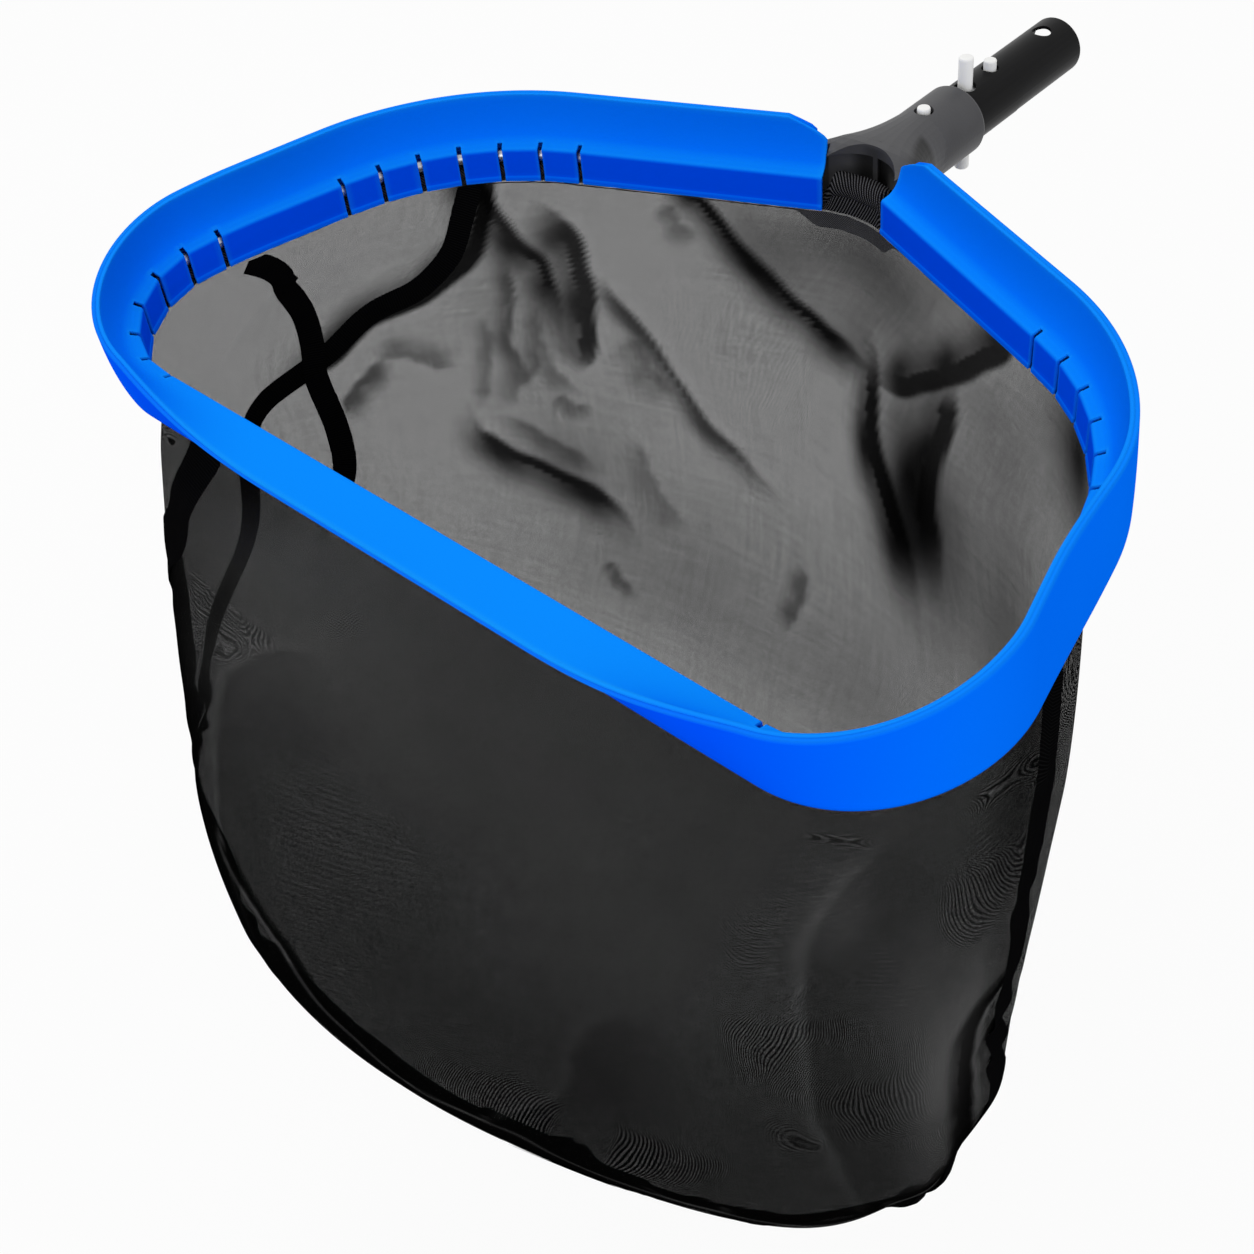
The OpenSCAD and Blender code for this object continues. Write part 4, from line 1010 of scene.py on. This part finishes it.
# %% Seam, bottom, gusset and side tapes
seam_v = np.linspace(0.01, 0.89, 45)
left_route = np.stack([seam_v, left_seam(seam_v) + 6*ease(0.15, 0.4, seam_v)], 1)
right_route = np.stack([seam_v, right_seam(seam_v)], 1)
tape("left_seam_tape", "seam_tape_left", left_route, tape_lift, 25*MM)
tape("right_seam_tape", "seam_tape_right", right_route, tape_lift, 16*MM)
bottom_route = [(0.88, 217), (0.93, 225), (0.95, 243), (0.955, 264), (0.95, 286), (0.93, 303), (0.88, 312)]
tape("bottom_seam_tape", "seam_tape_bottom", bottom_route, tape_lift + 0.4*MM, 20*MM)
gusset_route = [(0.0, 116), (0.028, 117.5), (0.066, 118.8), (0.096, 123.4), (0.104, 129.5), (0.132, 135),
                (0.146, 141), (0.164, 153.5), (0.19, 160), (0.218, 165), (0.262, 170.5), (0.286, 175),
                (0.304, 181.5), (0.322, 187.5), (0.342, 192.5), (0.37, 198), (0.42, 200)]
side_route = [(0.0, 149), (0.01, 147), (0.048, 140.5), (0.082, 137), (0.12, 136.5), (0.144, 138),
              (0.176, 138.5), (0.208, 139.5), (0.246, 142.5), (0.27, 147)]
tape("gusset_tape_sewn", "gusset_tape", gusset_route, -1.6*MM, 12*MM)
tape("side_tape_sewn", "side_tape", side_route, -2.9*MM, 13*MM)

# %% [markdown]
# ## The stitched band
#
# Under the roll a short band of twill is sewn to the bag. It shows in the gap at the yoke,
# and beside the gap the guard hides all but a narrow edge, so it is tall only in the gap.
# It is a strip of the bag's skin set a little inside it, so it follows every fold.

# %% Hem band
band_a = np.linspace(67, 114, 160)[None]
gap_middle = 73.5
in_gap = ease(6, 3.6, np.abs(band_a - gap_middle))
band_v = 0.0005 + (0.0012 + 0.014*in_gap)*np.linspace(0, 1, 9)[:, None]
band_points, _, _ = bag_skin(band_v, band_a, -1.1*MM)
band_run = np.swapaxes(arc_lengths(np.swapaxes(band_points, 0, 1)), 0, 1)
band_down = arc_lengths(band_points)
band = grid_object("hem_stitched_band", [{"points": band_points, "uv": np.stack([band_run, band_down], -1)}],
                   band_twill, 180)
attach(band, "frame")
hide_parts("hem_band")
print(f"band: {band_run[0, -1]*1000:.0f} mm long, {band_down.max()*1000:.1f} mm high")

# %% [markdown]
# ## Stage, light and camera
#
# The net is seen on a plain white ground in soft light. A very strong lamp would bleach
# the floor but also the plastic, so the lamps stay plain. The ground is white only to the
# camera and to mirrors and glass, and its diffuse share still keeps a soft shadow.


# %% Floor
def seen_directly(n):
    """1 for camera, glossy and transmission rays and 0 for the rest: the greatest of the three."""
    kinds = ("Is Camera Ray", "Is Glossy Ray", "Is Transmission Ray")
    rays = [n.node("ShaderNodeLightPath", out=kind) for kind in kinds]
    return rays[0].maths("MAXIMUM", rays[1]).maths("MAXIMUM", rays[2])


def floor_material():
    """For camera, glossy and transmission rays it mixes a white emission with a diffuse floor."""
    material, n = new_material("stage_floor")
    place = object_place(n)
    speck = noise(n, place, 30, 2)
    pale = speck.colour((0.79, 0.79, 0.79), (0.81, 0.81, 0.81))
    diffuse = n.node("ShaderNodeBsdfDiffuse", {}, {"Color": pale})
    white = n.node("ShaderNodeEmission", {}, {"Color": (1, 1, 1, 1), "Strength": 1.0})
    mixed = n.node("ShaderNodeMixShader", {}, {0: seen_directly(n)*0.9, 1: diffuse, 2: white})
    n.node("ShaderNodeOutputMaterial", {}, {"Surface": mixed})
    return material


floor_line, floor_z = np.linspace(-4, 4, 3), -0.56
floor_x, floor_y = np.meshgrid(floor_line, floor_line)
floor_points = np.stack([floor_x, floor_y, np.full((3, 3), floor_z)], -1)
floor = grid_object("stage_floor", [{"points": floor_points}], floor_material(), 180)

# %% Room light
world = bpy.data.worlds.new("soft_room")
bpy.context.scene.world = world
world.use_nodes = True
world.node_tree.nodes.clear()
room = Value(world.node_tree)
brightness = 0.85 + 0.15*seen_directly(room)
backdrop = room.node("ShaderNodeBackground", {}, {"Color": (1, 1, 1, 1), "Strength": brightness})
room.node("ShaderNodeOutputWorld", {}, {"Surface": backdrop})
print("room light ready:", world.name)


# %% Lamps and camera
def soft_lamp(name, place, aim, size, watts):
    """A square area lamp that points at a place."""
    lamp = bpy.data.lights.new(name, "AREA")
    lamp.shape, lamp.size, lamp.energy = "SQUARE", size, watts
    made = bpy.data.objects.new(name, lamp)
    bpy.context.scene.collection.objects.link(made)
    made.location = place
    made.rotation_euler = (Vector(aim) - Vector(place)).to_track_quat("-Z", "Y").to_euler()


soft_lamp("key_left", (-1.1, 0.5, 1.5), (0, -0.25, -0.05), 0.9, 6)
soft_lamp("low_front", (0.6, -1.6, 0.5), (0, -0.3, -0.1), 0.8, 4)

# The camera's three rows are its right, up and backward directions, made square to each other.
camera_place = (0.4518, -0.765, 0.4649)
camera_data = bpy.data.cameras.new("camera")
camera_data.lens, camera_data.sensor_width = 52.31, 36
camera = bpy.data.objects.new("camera", camera_data)
bpy.context.scene.collection.objects.link(camera)
bpy.context.scene.camera = camera
turn = np.array([(0.738, 0.669, -0.0879), (-0.4282, 0.5649, 0.7053), (0.5215, -0.4829, 0.7034)])
turn[2] /= np.linalg.norm(turn[2])
turn[0] = unit(np.cross(turn[1], turn[2]))
turn[1] = np.cross(turn[2], turn[0])
camera.matrix_world = Matrix.Translation(camera_place) @ Matrix(turn.T.tolist()).to_4x4()
bpy.context.scene.view_settings.view_transform = "Standard"
